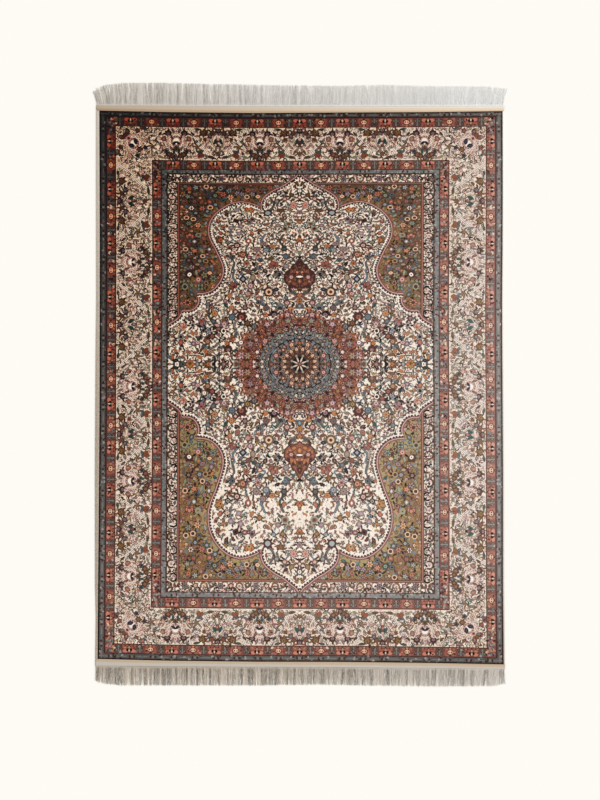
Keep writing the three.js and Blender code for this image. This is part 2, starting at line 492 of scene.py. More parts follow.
def blossom(chart, seed, pitch, ground, silks, chance, edge, share=0.6):
    """Small round blossoms with a dark edge."""
    draw = random.Random(seed)
    for across, along in chart.lattice(pitch):
        x = across + draw.uniform(-0.5, 0.5) * pitch
        y = along + draw.uniform(-0.5, 0.5) * pitch
        size = draw.uniform(1.1, 1.8)
        silk = draw.choice(silks)
        wanted = draw.random() < chance
        if wanted and mostly_ground(chart, x, y, size + 0.6, ground, share):
            petals(chart, x, y, size + 0.7, 5, draw.uniform(0, 72), edge, 0.25)
            petals(chart, x, y, size, 5, draw.uniform(0, 72), silk, 0.3)
            oval(chart, x, y, 0.45, 0.45, 0, edge)


# Silks of the small leaves and blossoms, picked in turn or by chance

FIELD_LEAVES = (
    "umber", "black", "slate", "maroon", "brown", "moss", "teal", "umber", "taupe", "navy", "wine",
)
FIELD_BUDS = ("salmon", "red", "olive", "taupe", "maroon", "umber", "steel", "orange")
FIELD_BLOSSOMS = ("orange", "salmon", "mauve", "steel", "taupe", "pink", "gold", "red", "sage")
SPANDREL_GROUND = ("straw", "olive", "gold")
SPANDREL_LEAVES = (
    "moss", "umber", "brick", "gold", "maroon", "straw", "sage", "tan", "brown", "salmon", "moss",
)
SPANDREL_FLECKS = ("umber", "brick", "gold", "tan", "sage", "salmon", "orange")
SPANDREL_BLOSSOMS = ("salmon", "steel", "sage", "pink", "brick", "peach", "taupe")
SMALL_LEAVES = ("maroon", "slate", "black", "umber", "brown", "pink", "wine", "taupe", "umber", "black")
PENDANT_LEAVES = ("red", "brick", "wine", "salmon", "orange")
RIM_BLOSSOMS = ("pink", "tan", "salmon", "pink", "taupe", "salmon", "orange")
RIM_LEAVES = ("black", "wine", "orange", "rust", "wine", "black", "orange", "umber", "red")
HEART_LEAVES = ("black", "teal", "ivory", "steel", "black", "blush", "black", "sky", "umber")
CORE_LEAVES = ("umber", "wine", "tan", "salmon", "maroon")
MAIN_GROUND = ("ivory", "blush")
BORDER_LEAVES = (
    "umber", "taupe", "mauve", "brown", "pink", "stone", "brick", "moss", "mauve", "umber", "sage", "grey",
    "wine",
)
GARLAND_SPRIGS = ("moss", "brown", "taupe", "umber", "maroon", "stone", "olive", "slate")
GARLAND_LEAVES = ("umber", "black", "moss", "maroon", "teal", "wine", "slate")
PALE_LEAVES = ("pink", "sage", "blush", "taupe", "mauve", "tan", "cream", "cream", "taupe")
RED_LEAVES = ("wine", "ash", "salmon", "umber", "grey", "blush", "ash", "tan", "mauve", "black")
RED_FLECKS = ("wine", "tan", "umber", "salmon", "taupe")
OUTER_GUARD_FLECKS = ("slate", "ash", "umber", "slate", "stone")
INNER_GUARD_FLECKS = ("stone", "grey", "umber", "mauve", "slate")
HEAD_BORDER_LEAVES = ("umber", "wine", "black", "slate")

# Painted shade: silks of the quarter swapped for darker ones in the head half, and darker still in the
# pendant there, for the shade that the nap's lean shows at the head

HEAD_SHADE_SILKS = (("straw", "olive"), ("olive", "moss"), ("gold", "brown"), ("moss", "umber"))
HEAD_PENDANT_SHADE_SILKS = (
    ("rust", "wine"), ("red", "maroon"), ("brick", "brown"), ("orange", "rust"), ("ash", "black"),
)

# Flowers of one quarter: x and y are their places, long, wide and turn their size and direction

FIELD_MOTIFS = read_table("""
form  x     y     long wide turn outer  inner
kite  103   0.5   5    5    0    slate  grey
rose  110.5 0.5   5    8    0    orange gold
rose  123.5 0.5   4.5  6    30   teal   cream
bud   124.6 -3    3    2.5  0    black  slate
bud   124.6 3.8   3    2.5  0    black  slate
bud   117.6 0     4    5    90   slate  black
lotus 91.6  0     5    6    0    brown  orange
hook  83.6  0     4    0    180  black  slate
leaf  85.6  6     5    2    70   black  slate
leaf  81.6  9     7    2    100  black  ash
bud   81.6  5.6   3    2    90   ash    cream
bud   76.6  0     6    4    0    maroon pink
ring  64    0.8   3    3    0    sage   maroon
bud   59.6  0     4    4    0    slate  steel
leaf  101   7     6    2.4  30   orange umber
leaf  125   13    5    2.4  60   orange umber
leaf  128   7     5    2.4  110  orange umber
leaf  118   7     5    2.4  20   brown  orange
hook  74.6  4.3   2.2  0    90   black  cream
bud   72.6  5.4   3    2    0    cream  red
leaf  91    9     8    2    10   brown  umber
bud   94.6  12.5  4    3    40   orange maroon
bud   89.6  12.5  3.4  3    0    tan    brown
lotus 72    14    5    7    90   moss   maroon
hook  73.6  8     3    0    -90  gold   cream
leaf  102.8 14    5    2    60   olive  umber
leaf  99    14    5    2    120  olive  umber
stem  112.6 15    9    1    75   mauve  mauve
bud   119.6 21    5    4    90   red    orange
dot   119   18    1.3  1.3  0    navy   navy
leaf  96    18    6    2.4  150  slate  navy
bud   107   20    4    3.4  20   mauve  pink
bud   102.6 21    3.6  3    0    pink   maroon
rose  92.6  22    3.6  6    0    brown  tan
hook  79    23    2.8  0    200  black  ash
bud   73.6  20.6  4    3    30   orange maroon
lotus 68.6  25.3  4    5    200  orange maroon
leaf  100.6 25.6  6    2.2  110  black  teal
rose  96    29    4    7    0    taupe  cream
rose  88    27.3  3.8  6    20   wine   red
rose  92    33    3.2  5    0    lilac  steel
dot   94.8  34.6  1.1  1.1  0    black  black
dot   90    34.4  1.1  1.1  0    black  black
rose  119.6 26.6  3.8  6    0    grey   black
leaf  108   30.3  6    2.2  60   orange brown
leaf  111   27    5    1.6  20   gold   moss
lotus 116.6 36    5    6    45   pink   orange
leaf  122.6 34    5    2    60   peach  orange
ring  107.6 38    2.2  2.2  0    grey   black
lotus 99    42.5  6    8    270  mauve  red
dot   101   40    0.9  0.9  0    black  black
dot   97    45    0.9  0.9  0    black  black
leaf  101   37    5    2    20   black  teal
bud   82    34.3  4    3    0    maroon red
leaf  86    35    5    2    130  black  slate
bud   83    38    4    2.6  20   pink   salmon
ring  76.6  32.5  2.4  2.4  0    cream  black
lotus 76    39    5.4  7    90   mauve  pink
kite  76.4  44    4    5    90   gold   brown
bud   87    42    5    3.6  30   slate  ash
rose  85.6  50.3  4.3  7    0    tan    orange
rose  68    46.3  4.6  8    0    slate  steel
kite  64.6  52.3  7    7    0    wine   pink
leaf  92.8  48.6  5    2    150  teal   sage
leaf  92.6  52    5    2    20   gold   brown
rose  110   45.3  3.4  6    0    wine   mauve
stem  98    55    9    1    125  black  black
bud   88.6  57.3  4    4.4  90   brick  umber
rose  92.6  61    3.2  6    0    slate  ash
leaf  74.6  60    7    3    60   teal   black
bud   75    65.4  4    3    90   mauve  pink
rose  68.6  56.6  3.6  6    0    orange tan
leaf  64.6  14    6    2.4  100  teal   black
rose  59    21    4    7    0    mauve  cream
leaf  57.6  27.6  5    2.2  40   brown  orange
leaf  64.6  28.4  6    2.2  120  slate  navy
rose  52.6  40    4.2  6    30   moss   gold
rose  45.6  36.6  4.4  7    0    umber  ash
hook  42.6  44    3.4  0    45   gold   peach
lotus 58.6  46.6  6    8    120  wine   red
leaf  47    49    6    2.4  10   taupe  umber
bud   34.6  49    5    4    30   orange gold
lotus 25.6  49    5    7    60   black  mauve
lotus 19.6  56.4  6    8    100  ash    navy
bud   8.6   56    5.5  4    0    orange tan
leaf  6.6   60    5    2    120  black  slate
rose  55    57    3.6  6    0    umber  mauve
leaf  62.6  62.6  6    2.6  150  wine   mauve
leaf  48.6  60    5    2.6  30   moss   tan
ring  51.6  64    1.8  1.8  0    cream  red
bud   41.6  64    6    4    60   slate  black
rose  33.6  57    4.2  7    0    maroon slate
hook  24.6  60.6  3    0    270  teal   cream
rose  12.6  63    4.2  7    0    maroon pink
bud   13.6  69.4  4    3    90   slate  ash
stem  36.6  66    10   1    95   ash    ash
bud   31.8  65    4    3    90   cream  ash
stem  73.6  76.4  6    1    140  umber  umber
rose  70    72    3.4  6    0    orange tan
lotus 66.6  81    5    7    60   red    maroon
bud   62.6  68.4  5    4    60   brick  maroon
leaf  54.6  69.4  6    2.6  140  sage   teal
lotus 52    74    4.4  6    200  brick  pink
kite  57    88.6  8    8    0    navy   grey
rose  49.4  82    4.2  7    0    mauve  pink
bud   47    90    6    4.6  90   taupe  tan
leaf  41.6  86    6    2.4  60   slate  black
hook  37.6  84.6  3.2  0    120  gold   brown
ring  31    76    5.4  5.4  0    moss   peach
dot   31    76    1.6  1.6  0    wine   wine
bud   23.6  78.6  4    3    0    navy   slate
leaf  42.6  74.6  6    2.6  130  maroon wine
leaf  22.6  71.4  6    2.6  160  maroon wine
hook  29.6  91    3.2  0    230  black  slate
lotus 20.6  93    5    7    50   ash    black
hook  25    84.6  3    0    60   maroon pink
bud   34.6  97    5    3.4  60   umber  ash
lotus 25.6  104   7    9    70   red    maroon
rose  13.6  103.6 3.8  6    0    mauve  grey
rose  51.6  96.4  3.2  6    0    maroon brown
leaf  56.6  99.6  6    2.4  30   teal   black
leaf  46    99    6    2.4  150  teal   black
rose  42.2  101   2.8  5    0    slate  ash
rose  53.6  107.6 3.6  6    0    orange maroon
leaf  46.2  107   6    2.6  60   black  moss
bud   40    106   4    3    0    salmon cream
bud   39.6  112   6    4    20   slate  navy
rose  41.6  118.6 4    7    0    pink   maroon
lotus 29.6  115   4    6    250  brown  olive
lotus 14.6  116.6 5.4  7    150  slate  steel
leaf  22.6  120.8 7    2.8  30   black  maroon
rose  33.6  126   4.6  8    0    steel  grey
lotus 57    119.6 6    8    20   brown  salmon
bud   51    116   4    4    0    maroon pink
bud   67.4  117   5    4    60   slate  black
bud   67.6  123   4    3.6  0    salmon cream
rose  70.6  129   3.2  6    0    brick  umber
rose  63    132.6 4.6  7    0    umber  pink
rose  43.4  127.4 4.6  8    0    mauve  taupe
rose  36.6  135   4    8    0    mauve  taupe
bud   27.6  131.6 5    4.6  0    orange brown
rose  15.6  127.6 4    6    0    umber  slate
hook  8.6   131   3    0    0    red    pink
leaf  7.6   136   5    2.4  60   sage   teal
lotus 79.4  140   6    8    20   gold   orange
ring  72    137   3    3    0    black  sage
stem  61    139.6 8    1    70   mauve  mauve
bud   51.6  139   7    5    90   red    cream
leaf  45.6  139.6 6    2.4  100  maroon wine
hook  31.6  141   3    0    190  brown  cream
hook  23.6  139.6 3    0    20   gold   cream
bud   15.6  140.6 5    4    60   brick  orange
lotus 0     139   4.6  6    90   orange red
bud   80    150   5    4    60   red    orange
leaf  84    157   7    2.8  70   brick  slate
rose  72.6  149   3.8  6    0    grey   peach
kite  61    149.6 8    6    30   mauve  lilac
kite  69    157.6 8    6    150  mauve  lilac
kite  59    160   8    6    90   mauve  lilac
leaf  48    150   6    2.8  60   orange brown
rose  40    154   3.6  6    0    brown  gold
leaf  77    160   5    2.4  30   orange brown
bud   82    167   5    4    90   maroon brick
hook  76.6  168   3    0    100  gold   cream
bud   64    168   6    4    60   wine   black
bud   55    168.6 5    4    0    maroon pink
rose  47.6  170   4    5    18   mauve  wine
rose  32    179.6 6    8    0    wine   sky
dot   32    179.6 1.4  1.4  0    sky    sky
lotus 50.6  182.6 6    8    100  orange tan
leaf  73.6  176   6    2.8  60   wine   red
leaf  66.6  175.4 6    2.8  120  wine   red
bud   70    180.6 4    2.6  90   sage   teal
bud   74.6  182   4    3    0    gold   brown
bud   63.6  184   4    4    0    lilac  mauve
leaf  59    178   5    2.4  20   slate  navy
ring  14.6  156   4    4    0    sage   maroon
ring  11    163.6 3.6  3.6  0    sage   maroon
bud   21.6  161   5    4    0    mauve  grey
leaf  32.6  163   7    3    140  brick  umber
kite  17    170   6    6    0    brown  gold
hook  5     152   3    0    120  orange gold
bud   15.6  176   5    4    90   maroon pink
lotus 19    184.4 5    5    270  brown  olive
rose  6     190   4.6  7    0    pink   salmon
bud   0     181   5    5    90   mauve  maroon
lotus 0     169   4.4  6    270  orange brown
rose  26    170.6 3    6    0    slate  sky
rose  23    195   3.4  6    0    slate  grey
leaf  33    191   6    2.4  30   maroon wine
rose  15    198   3.2  6    0    brick  peach
bud   8     203   5    4    60   olive  gold
rose  0     208   4    6    0    slate  cream
leaf  14    206   5    2.4  30   wine   wine
rose  0     200   2.6  5    0    red    cream
leaf  5     214   4    2    120  maroon wine
""")

SPANDREL_MOTIFS = read_table("""
form  x     y     long wide turn outer  inner
rose  113   63.3  4.6  7    0    salmon umber
bud   108.6 73    5    3.6  60   slate  grey
ring  115.6 81    3    3    0    sage   umber
rose  100   80.6  3.8  4    45   sage   teal
rose  94.2  84.6  3    6    0    tan    wine
ring  102   88    3.2  3.2  0    red    pink
rose  87    89    3.8  6    0    sage   slate
lotus 111   93    5    7    60   wine   cream
leaf  104   95    6    2.4  80   sage   grey
rose  96    92.6  3.6  5    0    sage   straw
bud   90.6  94.6  4    3    0    peach  salmon
bud   97.6  100   5    4    30   mauve  brown
leaf  84.6  99.3  6    2.6  60   maroon wine
bud   88.6  103   4    4    90   mauve  lilac
rose  108.6 102   3    5    0    pink   brown
bud   103   105.6 4    3    0    tan    sage
rose  100.6 110.6 3.6  6    0    slate  grey
ring  94.6  110.3 2.8  2.8  0    tan    umber
rose  111.6 111.3 3.4  6    0    black  mauve
leaf  88    110   5    2.6  60   orange salmon
leaf  85    114   5    2.6  120  teal   black
ring  97.6  117.4 2.6  2.6  0    peach  umber
leaf  115   117.6 5    2.4  80   sage   teal
rose  110.8 121   3.4  5    0    grey   maroon
leaf  98.6  125   7    2.8  70   sage   straw
bud   93    120   4    4    0    maroon pink
rose  106   125   3.6  5    0    orange salmon
ring  115   127   2.8  2.8  0    peach  umber
rose  103.6 131   3    6    0    slate  black
bud   95.6  131   4    4    90   mauve  red
bud   91    127   4    3    90   lilac  cream
leaf  112   134   6    2.4  40   maroon brick
bud   106   138   4    4    90   grey   cream
lotus 110.6 144   5    7    90   salmon maroon
ring  102   147   3    3    0    sage   straw
bud   96.6  142   5    4    60   brick  red
leaf  94    151   6    2.4  60   sage   teal
leaf  105   152   6    2    20   straw  gold
leaf  99.6  155   5    2.4  100  brick  brown
rose  102.6 161.6 3.6  6    0    peach  orange
rose  111.6 164   3.4  6    0    sage   steel
leaf  94.6  164   6    2.4  110  grey   sage
ring  114   172   2.8  2.8  0    peach  umber
ring  107   170   2.8  2.8  0    peach  umber
bud   100.6 171.6 5    3    0    slate  black
leaf  94    175   6    2.6  30   sage   straw
rose  104.6 179   3    6    0    slate  sky
rose  93    181.6 3    5    0    slate  sky
rose  98    185.6 3.4  6    0    salmon red
ring  90    187   2.8  2.8  0    peach  umber
rose  109   186   3    6    0    cream  maroon
rose  84.6  190.6 3.2  6    0    slate  sky
bud   90.6  194   5    4    60   red    salmon
lotus 115   193   4.4  6    45   brick  maroon
rose  106   194.6 3.4  6    0    maroon brick
rose  112.6 200.6 3    5    0    sage   grey
leaf  105   203   6    2.8  40   brick  maroon
leaf  98.6  194   6    2.8  120  brick  maroon
lotus 111   210   4.4  6    45   brick  orange
rose  104.6 212   3    5    0    sky    grey
leaf  98    209   6    2.6  60   maroon brick
ring  94    213   2.6  2.6  0    peach  umber
rose  85    202   3.8  6    0    teal   sage
bud   91.6  203   5    4    20   slate  black
bud   77    196   5    3.6  20   slate  black
rose  77    203.6 3.4  6    0    salmon red
rose  69.6  200   3.6  6    0    peach  orange
rose  71    208   3    5    0    sky    slate
ring  79.6  211   2.4  2.4  0    grey   umber
rose  63    205   3    5    0    lilac  mauve
rose  58    204   3    5    0    lilac  mauve
rose  47.6  204   3    5    0    lilac  mauve
ring  53    200.6 2.6  2.6  0    peach  umber
rose  52    209   3    6    0    salmon maroon
rose  39.6  208   3.4  5    0    brick  umber
bud   42    201   4    4    0    peach  orange
leaf  43.6  197   5    2.4  20   teal   sage
rose  30    212   3    5    0    salmon maroon
bud   35    206   4    3    60   slate  sky
rose  64    212   2.8  5    0    salmon maroon
bud   23    214   4    3    20   sky    slate
rose  116   54    2.4  5    0    slate  grey
bud   107   58    4    3    0    maroon brick
""")

# Long bent leaves of the field, each through three places

FIELD_ARCS = read_table("""
x1  y1  x2 y2  x3 y3  silk
37  74  38 65  31 57  steel
65  99  67 90  60 82  steel
60  47  66 38  62 29  ash
88  62  92 50  86 38  slate
104 44  97 36  99 25  steel
46  112 54 120 53 132 slate
30  128 38 138 34 150 steel
62  136 70 146 68 158 ash
22  150 14 160 20 172 slate
48  164 58 170 68 166 steel
14  130 20 138 16 148 teal
34  180 26 190 30 200 slate
10  190 16 198 12 208 steel
74  118 66 110 68 98  slate
80  22  88 16  98 17  ash
""")

# The field's scalloped edge, from the side to the foot, in four parts that meet at corners

FIELD_EDGE = (
    ((136.0, 35.0), (132.0, 38.0), (125.0, 42.5), (120.2, 47.0), (117.7, 52.6)),
    ((117.7, 52.6), (112.0, 52.6), (105.9, 55.2), (101.8, 61.3), (101.0, 67.4), (102.4, 73.6)),
    (
        (102.4, 73.6), (95.7, 74.1), (88.6, 76.6), (82.5, 81.7), (77.9, 88.9), (76.3, 97.0),
        (77.4, 106.2), (83.5, 125.6), (87.6, 135.8), (90.6, 146.0), (91.1, 156.2), (89.6, 165.8),
        (85.5, 175.6), (78.4, 184.8), (68.2, 191.8), (57.6, 193.8), (46.6, 190.8), (38.1, 186.1),
    ),
    (
        (38.1, 186.1), (37.9, 192.8), (34.7, 200.6), (25.5, 208.5), (16.4, 213.7), (9.0, 219.6),
        (3.5, 224.0), (0.0, 229.0),
    ),
)


def shade_spandrel(chart, edge):
    """The ground of the corners: gold brown in a band along the field, dark and mixed further out."""
    x, y = chart.everywhere()
    gap = np.full(chart.cells.shape, 1e9)
    for across, along in edge[::4]:
        gap = np.minimum(gap, (x - across) ** 2 + (y - along) ** 2)
    drift = np.sin(x / 9.0 + y / 17.0) + np.sin(x / 5.3 - y / 11.0) * 0.7
    dither = np.sin(x * 12.9898 + y * 78.233) * 43758.5453
    dither = dither - np.floor(dither)
    level = np.sqrt(gap) / 22.0 + drift * 0.14 + (dither - 0.5) * 0.6
    chart.cells[level > 0.55] = SILK["olive"]
    chart.cells[level < -0.02] = SILK["gold"]


# Lines between the corners and the small border, with where each starts across and along

FRAME_LINES = (
    ("umber", 120.4, 215.4), ("maroon", 121.1, 216.1), ("brick", 121.5, 216.5), ("umber", 122.5, 217.5),
)
FRAME_END = (123.2, 218.2)


def draw_frame_lines(chart):
    x, y = chart.everywhere()
    for (silk, across, along), (_, next_across, next_along) in zip(FRAME_LINES, FRAME_LINES[1:]):
        band = ((x > across) & (y < next_along)) | ((y > along) & (x < next_across))
        chart.cells[band & (x <= next_across) & (y <= next_along)] = SILK[silk]
    silk, across, along = FRAME_LINES[-1]
    inside = (x < FRAME_END[0]) & (y < FRAME_END[1])
    chart.cells[((x > across) | (y > along)) & inside] = SILK[silk]


# The small border's repeat: s is a step along the border and t one across it

SMALL_SIDE = read_table("""
form s    t    long wide turn outer  inner
curl 0    -1.0 3.9  1.9  0    black  pink
oval 0.4  1.4  0.7  1.2  0    cream  cream
leaf -6.6 2.2  4.0  1.6  100  slate  umber
rose -6.0 -2.2 1.9  5    0    maroon pink
curl 13.7 1.0  3.9  1.9  180  umber  mauve
oval 13.7 -1.6 0.7  1.2  0    cream  cream
rose 7.0  2.4  1.9  5    0    maroon pink
leaf 7.2  -2.4 4.0  1.6  80   slate  umber
""")

SMALL_END = read_table("""
form s    t    long wide turn outer  inner
rose 0    -0.6 3.6  6    0    mauve  slate
leaf 6.4  -1.6 5.0  2.0  60   moss   umber
leaf 9.4  0.4  6.0  2.0  125  maroon wine
oval 7.6  2.4  1.6  1.0  0    cream  cream
curl 16.6 -0.6 3.2  2.0  90   brown  steel
rose 25.0 -0.8 3.0  5    0    brick  blush
leaf 29.6 2.4  4.0  1.6  60   slate  umber
leaf 20.8 2.6  4.0  1.6  120  umber  umber
oval 21.0 -2.4 1.0  1.4  0    cream  cream
oval 30.4 -2.2 1.0  1.4  0    cream  cream
leaf 12.8 3.0  4.0  1.4  80   slate  umber
""")
SMALL_SIDE_PITCH = 27.4
SMALL_SIDE_START = -5
SMALL_SIDE_MIDDLE = 127.6
SMALL_END_PITCH = 35.6
SMALL_END_START = 8
SMALL_END_MIDDLE = 222.9


def draw_small_border(chart):
    """The ivory border round the field: dark curls in turn along the sides, blossoms along the ends."""
    for number in range(9):
        for part in SMALL_SIDE:
            along = SMALL_SIDE_START + number * SMALL_SIDE_PITCH + part.s
            FORMS[part.form](chart, changed(part, x=SMALL_SIDE_MIDDLE + part.t, y=along), "umber")
    for number in range(5):
        for part in SMALL_END:
            across = SMALL_END_START + number * SMALL_END_PITCH + part.s
            FORMS[part.form](chart, changed(part, x=across, y=SMALL_END_MIDDLE + part.t), "umber")


def draw_arcs(chart, table):
    for row in table:
        line = smooth([(row.x1, row.y1), (row.x2, row.y2), (row.x3, row.y3)], 8)
        stroke(chart, line, 1.25, "umber")
        stroke(chart, line, 0.75, row.silk)


def draw_quarter():
    """The field, medallion, pendant, corners and small border of one quarter, at the foot half's scale."""
    chart = KnotChart(QUARTER_ACROSS * KNOTS, QUARTER_ALONG * KNOTS, 0, "straw")
    x, y = chart.everywhere()
    lines = [smooth(list(part)) for part in FIELD_EDGE]
    whole = [point for line in lines for point in line]
    shade_spandrel(chart, whole)
    draw_motifs(chart, SPANDREL_MOTIFS, "umber", leafy=True)
    blossom(chart, 6, 4.0, SPANDREL_GROUND, SPANDREL_BLOSSOMS, 0.6, "umber", share=0.7)
    strew(chart, 5, 2.3, SPANDREL_GROUND, SPANDREL_LEAVES, 0.75, long=(1.8, 3.6), width=(0.45, 0.75))
    strew(chart, 7, 2.2, ("olive",), SPANDREL_FLECKS, 0.6, long=(1.4, 2.6), width=(0.5, 0.8))
    chart.cells[(x > SMALL_BORDER_ACROSS) | (y > SMALL_BORDER_ALONG)] = SILK["ivory"]
    draw_small_border(chart)
    strew(chart, 8, 1.8, ("ivory",), SMALL_LEAVES, 1.0, in_small_border, (1.8, 3.4), 0.48, (0.5, 0.8))
    draw_frame_lines(chart)
    field = inside_line(chart, whole + [(0.0, 0.0), (136.0, 0.0)])
    chart.cells[field] = SILK["ivory"]
    ground = chart.cells.copy()
    draw_arcs(chart, FIELD_ARCS)
    draw_motifs(chart, FIELD_MOTIFS, "umber", leafy=True)
    blossom(chart, 4, 4.6, ("ivory",), FIELD_BLOSSOMS, 0.45, "umber", share=0.68)
    strew(chart, 3, 2.4, ("ivory",), FIELD_LEAVES, 0.95, near_middle, (2.8, 5.4), 0.62)
    strew(chart, 13, 2.6, ("ivory",), FIELD_LEAVES, 0.75, always, (2.6, 4.8), 0.66, (0.45, 0.8))
    strew(chart, 9, 2.0, ("ivory",), FIELD_BUDS, 0.6, near_middle, (1.2, 2.2), 0.8)
    strew(chart, 10, 1.8, ("ivory",), ("cream",), 0.8, always, (1.4, 3.0), 0.5)
    chart.cells[~field] = ground[~field]
    for line in lines:
        stroke(chart, shifted(line, -2.4), 0.9, "cream")
        beads(chart, shifted(line, -1.5), 3.1, "wine", "umber")
        stroke(chart, shifted(line, 1.5), 0.8, "maroon")
        stroke(chart, shifted(line, -0.4), 0.5, "wine")
        stroke(chart, shifted(line, 0.5), 0.42, "pink")
    draw_pendant(chart)
    draw_medallion(chart)
    return chart


# The pendant

PENDANT_EDGE = (
    (0.0, 77.5), (2.2, 79.5), (5.0, 81.0), (9.0, 81.0), (12.5, 83.5), (15.0, 88.0), (15.0, 92.5),
    (12.5, 96.5), (9.5, 99.0), (7.5, 103.0), (4.0, 107.0), (1.8, 111.0), (0.0, 115.5),
)

PENDANT_MOTIFS = read_table("""
form  x    y    long wide turn outer  inner
leaf  5.5  99.0 6    3.0  60   umber  black
leaf  6.0  92.0 6    2.6  110  wine   umber
lens  0    91.5 4.6  1.8  0    black  black
lens  0    91.0 3.6  1.0  0    cream  cream
bud   0    86.4 4.4  4    90   orange salmon
lotus 0    99.0 5    6    90   brown  umber
rose  8.4  90.5 3.6  6    0    maroon pink
leaf  11.0 95.6 4    2.0  120  wine   wine
leaf  4.8  97.5 6    2.2  110  orange maroon
bud   5.5  84.0 4    3    20   orange gold
leaf  12.4 87.6 4    2    80   orange maroon
bud   0    106  4    4    90   wine   red
hook  0    118  3.2  0    90   black  slate
bud   0    122  4    3    90   sage   teal
lotus 0    73   4.4  6    270  brick  orange
rose  0    64.6 3.2  6    0    orange gold
bud   0    59.0 4    4    90   steel  sky
leaf  6.5  75.5 7    2.4  30   slate  black
leaf  5    69   5    2.4  140  maroon wine
leaf  10   78.5 5    2.0  60   umber  umber
leaf  6    112  6    2.2  60   slate  black
""")


def draw_pendant(chart):
    line = smooth(list(PENDANT_EDGE), 5)
    inside = inside_line(chart, line + [(0.0, PENDANT_EDGE[0][1])])
    chart.cells[inside] = SILK["rust"]
    strew(chart, 12, 2.0, ("rust",), PENDANT_LEAVES, 0.9, long=(1.6, 3.0))
    stroke(chart, shifted(line, 0.3), 0.6, "wine")
    draw_motifs(chart, PENDANT_MOTIFS, "umber")


# The medallion: a rust rim, a grey heart with lobes, and a round core with a star

MEDALLION_EDGE = (
    (59.0, 0.0), (61.0, 4.0), (64.5, 9.0), (62.0, 13.5), (57.5, 17.0), (56.0, 20.5), (57.5, 24.5),
    (56.0, 29.5), (50.0, 31.0), (43.5, 33.0), (41.5, 37.5), (40.0, 44.0), (34.5, 44.0), (28.0, 43.0),
    (22.5, 46.0), (18.5, 50.5), (12.5, 54.0), (7.5, 50.5), (4.5, 46.0), (0.0, 45.0),
)
HEART_LOBES = (
    (38.0, 0.0, 3.4), (35.6, 6.2, 4.6), (33.6, 13.0, 4.2), (29.4, 17.6, 4.6), (24.6, 22.6, 4.2),
    (19.6, 25.6, 4.6), (13.6, 28.4, 3.8), (7.2, 29.6, 4.8), (0.0, 31.6, 3.6),
)
HEART_REACH = (33.5, 27.5)
HEART_LINE = (31.0, 24.4)
CORE_REACH = (17.6, 17.0)
STAR_POINTS = (22.5, 67.5, -22.5)

MEDALLION_MOTIFS = read_table("""
form x    y    long wide turn outer  inner
rose 58.6 8.6  3.8  6    0    pink   mauve
rose 52.4 8.2  3.8  6    0    tan    taupe
bud  48.6 3.0  4    3    0    red    maroon
bud  53.0 1.0  4    3    90   brick  rust
rose 42.6 11.8 2.6  5    0    pink   cream
rose 45.8 2.2  2.2  5    0    pink   cream
rose 49.6 19.8 3.8  5    18   mauve  taupe
rose 43.6 23.6 2.8  5    0    brick  pink
ring 50.4 27.0 2.8  2.8  0    brown  taupe
rose 34.6 22.6 3.0  5    0    pink   salmon
rose 27.4 24.8 2.6  5    0    mauve  pink
rose 32.6 39.0 4.2  5    54   mauve  pink
rose 26.4 34.0 3.0  6    0    brick  maroon
rose 11.6 42.6 3.6  5    18   taupe  sage
rose 12.4 49.0 4.0  5    18   mauve  pink
rose 6.0  46.4 2.6  6    0    tan    brick
rose 20.6 33.0 2.8  6    0    tan    gold
rose 14.0 33.6 2.4  5    0    pink   mauve
rose 3.6  35.0 2.6  5    0    pink   brick
leaf 16.6 40.4 6    2.6  70   red    rust
leaf 22.0 41.5 5    2.2  120  sage   taupe
leaf 37.6 33.0 5    2.4  40   red    salmon
leaf 39.5 18.0 6    2.4  80   rust   orange
rose 38.0 27.0 2.4  5    0    gold   orange
leaf 55.0 14.0 4    2.0  30   rust   orange
leaf 46.5 30.0 5    2.0  10   taupe  slate
bud  0    39.0 4    4    90   rust   orange
leaf 8.0  38.6 4    2    40   sage   taupe
rose 22.0 46.0 2.4  5    0    red    pink
rose 46.0 15.4 2.6  5    0    maroon red
leaf 31.0 30.0 4    2    20   taupe  sage
""")

HEART_MOTIFS = read_table("""
form x    y    long wide turn outer  inner
rose 23.8 8.2  3.4  5    0    red    pink
rose 8.0  18.8 3.4  5    0    brick  peach
rose 16.6 14.0 2.2  5    0    maroon peach
leaf 28.0 4.5  5    2    75   steel  ash
leaf 27.0 13.0 5    2    130  steel  ash
leaf 14.0 21.0 4    2    150  steel  ash
leaf 3    23.4 4    2    10   ash    steel
bud  28.5 0    3    3    0    rust   orange
bud  0    20.4 3    3    90   rust   orange
leaf 19.6 4.6  4    1.6  90   black  black
leaf 20.0 0.0  3    1.6  0    black  black
leaf 18.6 9.6  4    1.6  120  black  black
leaf 3.6  17.4 3    1.6  20   black  black
""")

# Rings of the medallion: across and along are an oval's half sizes, and shift is a share of its step

RIM_RINGS = read_table("""
form across along count shift long wide turn outer inner
leaf 43.6   37.2  32    0.5   5.4  2.8  0    black wine
rose 42.6   35.8  32    0     2.0  5    0    blush wine
leaf 49.6   41.6  32    0     5.4  2.4  0    rust  orange
rose 48.2   41.0  32    0.5   2.1  5    0    pink  wine
leaf 54.4   47.2  32    0.5   5.0  2.4  0    wine  black
rose 53.8   46.6  32    0     2.0  5    0    blush maroon
rose 59.4   51.4  40    0.5   1.8  5    0    tan   brick
""")

HEART_RINGS = read_table("""
form across along count shift long wide turn outer inner
rose 33.4   27.0  32    0.5   1.8  5    0    sky   umber
leaf 28.0   22.4  32    0     3.4  1.4  0    black umber
rose 25.4   21.2  24    0.5   2.0  5    0    grey  salmon
leaf 23.2   19.6  32    0     2.8  1.3  20   umber black
rose 20.8   18.6  16    0     2.2  5    0    brick peach
leaf 20.4   18.8  16    0.5   4.4  1.8  0    steel black
""")

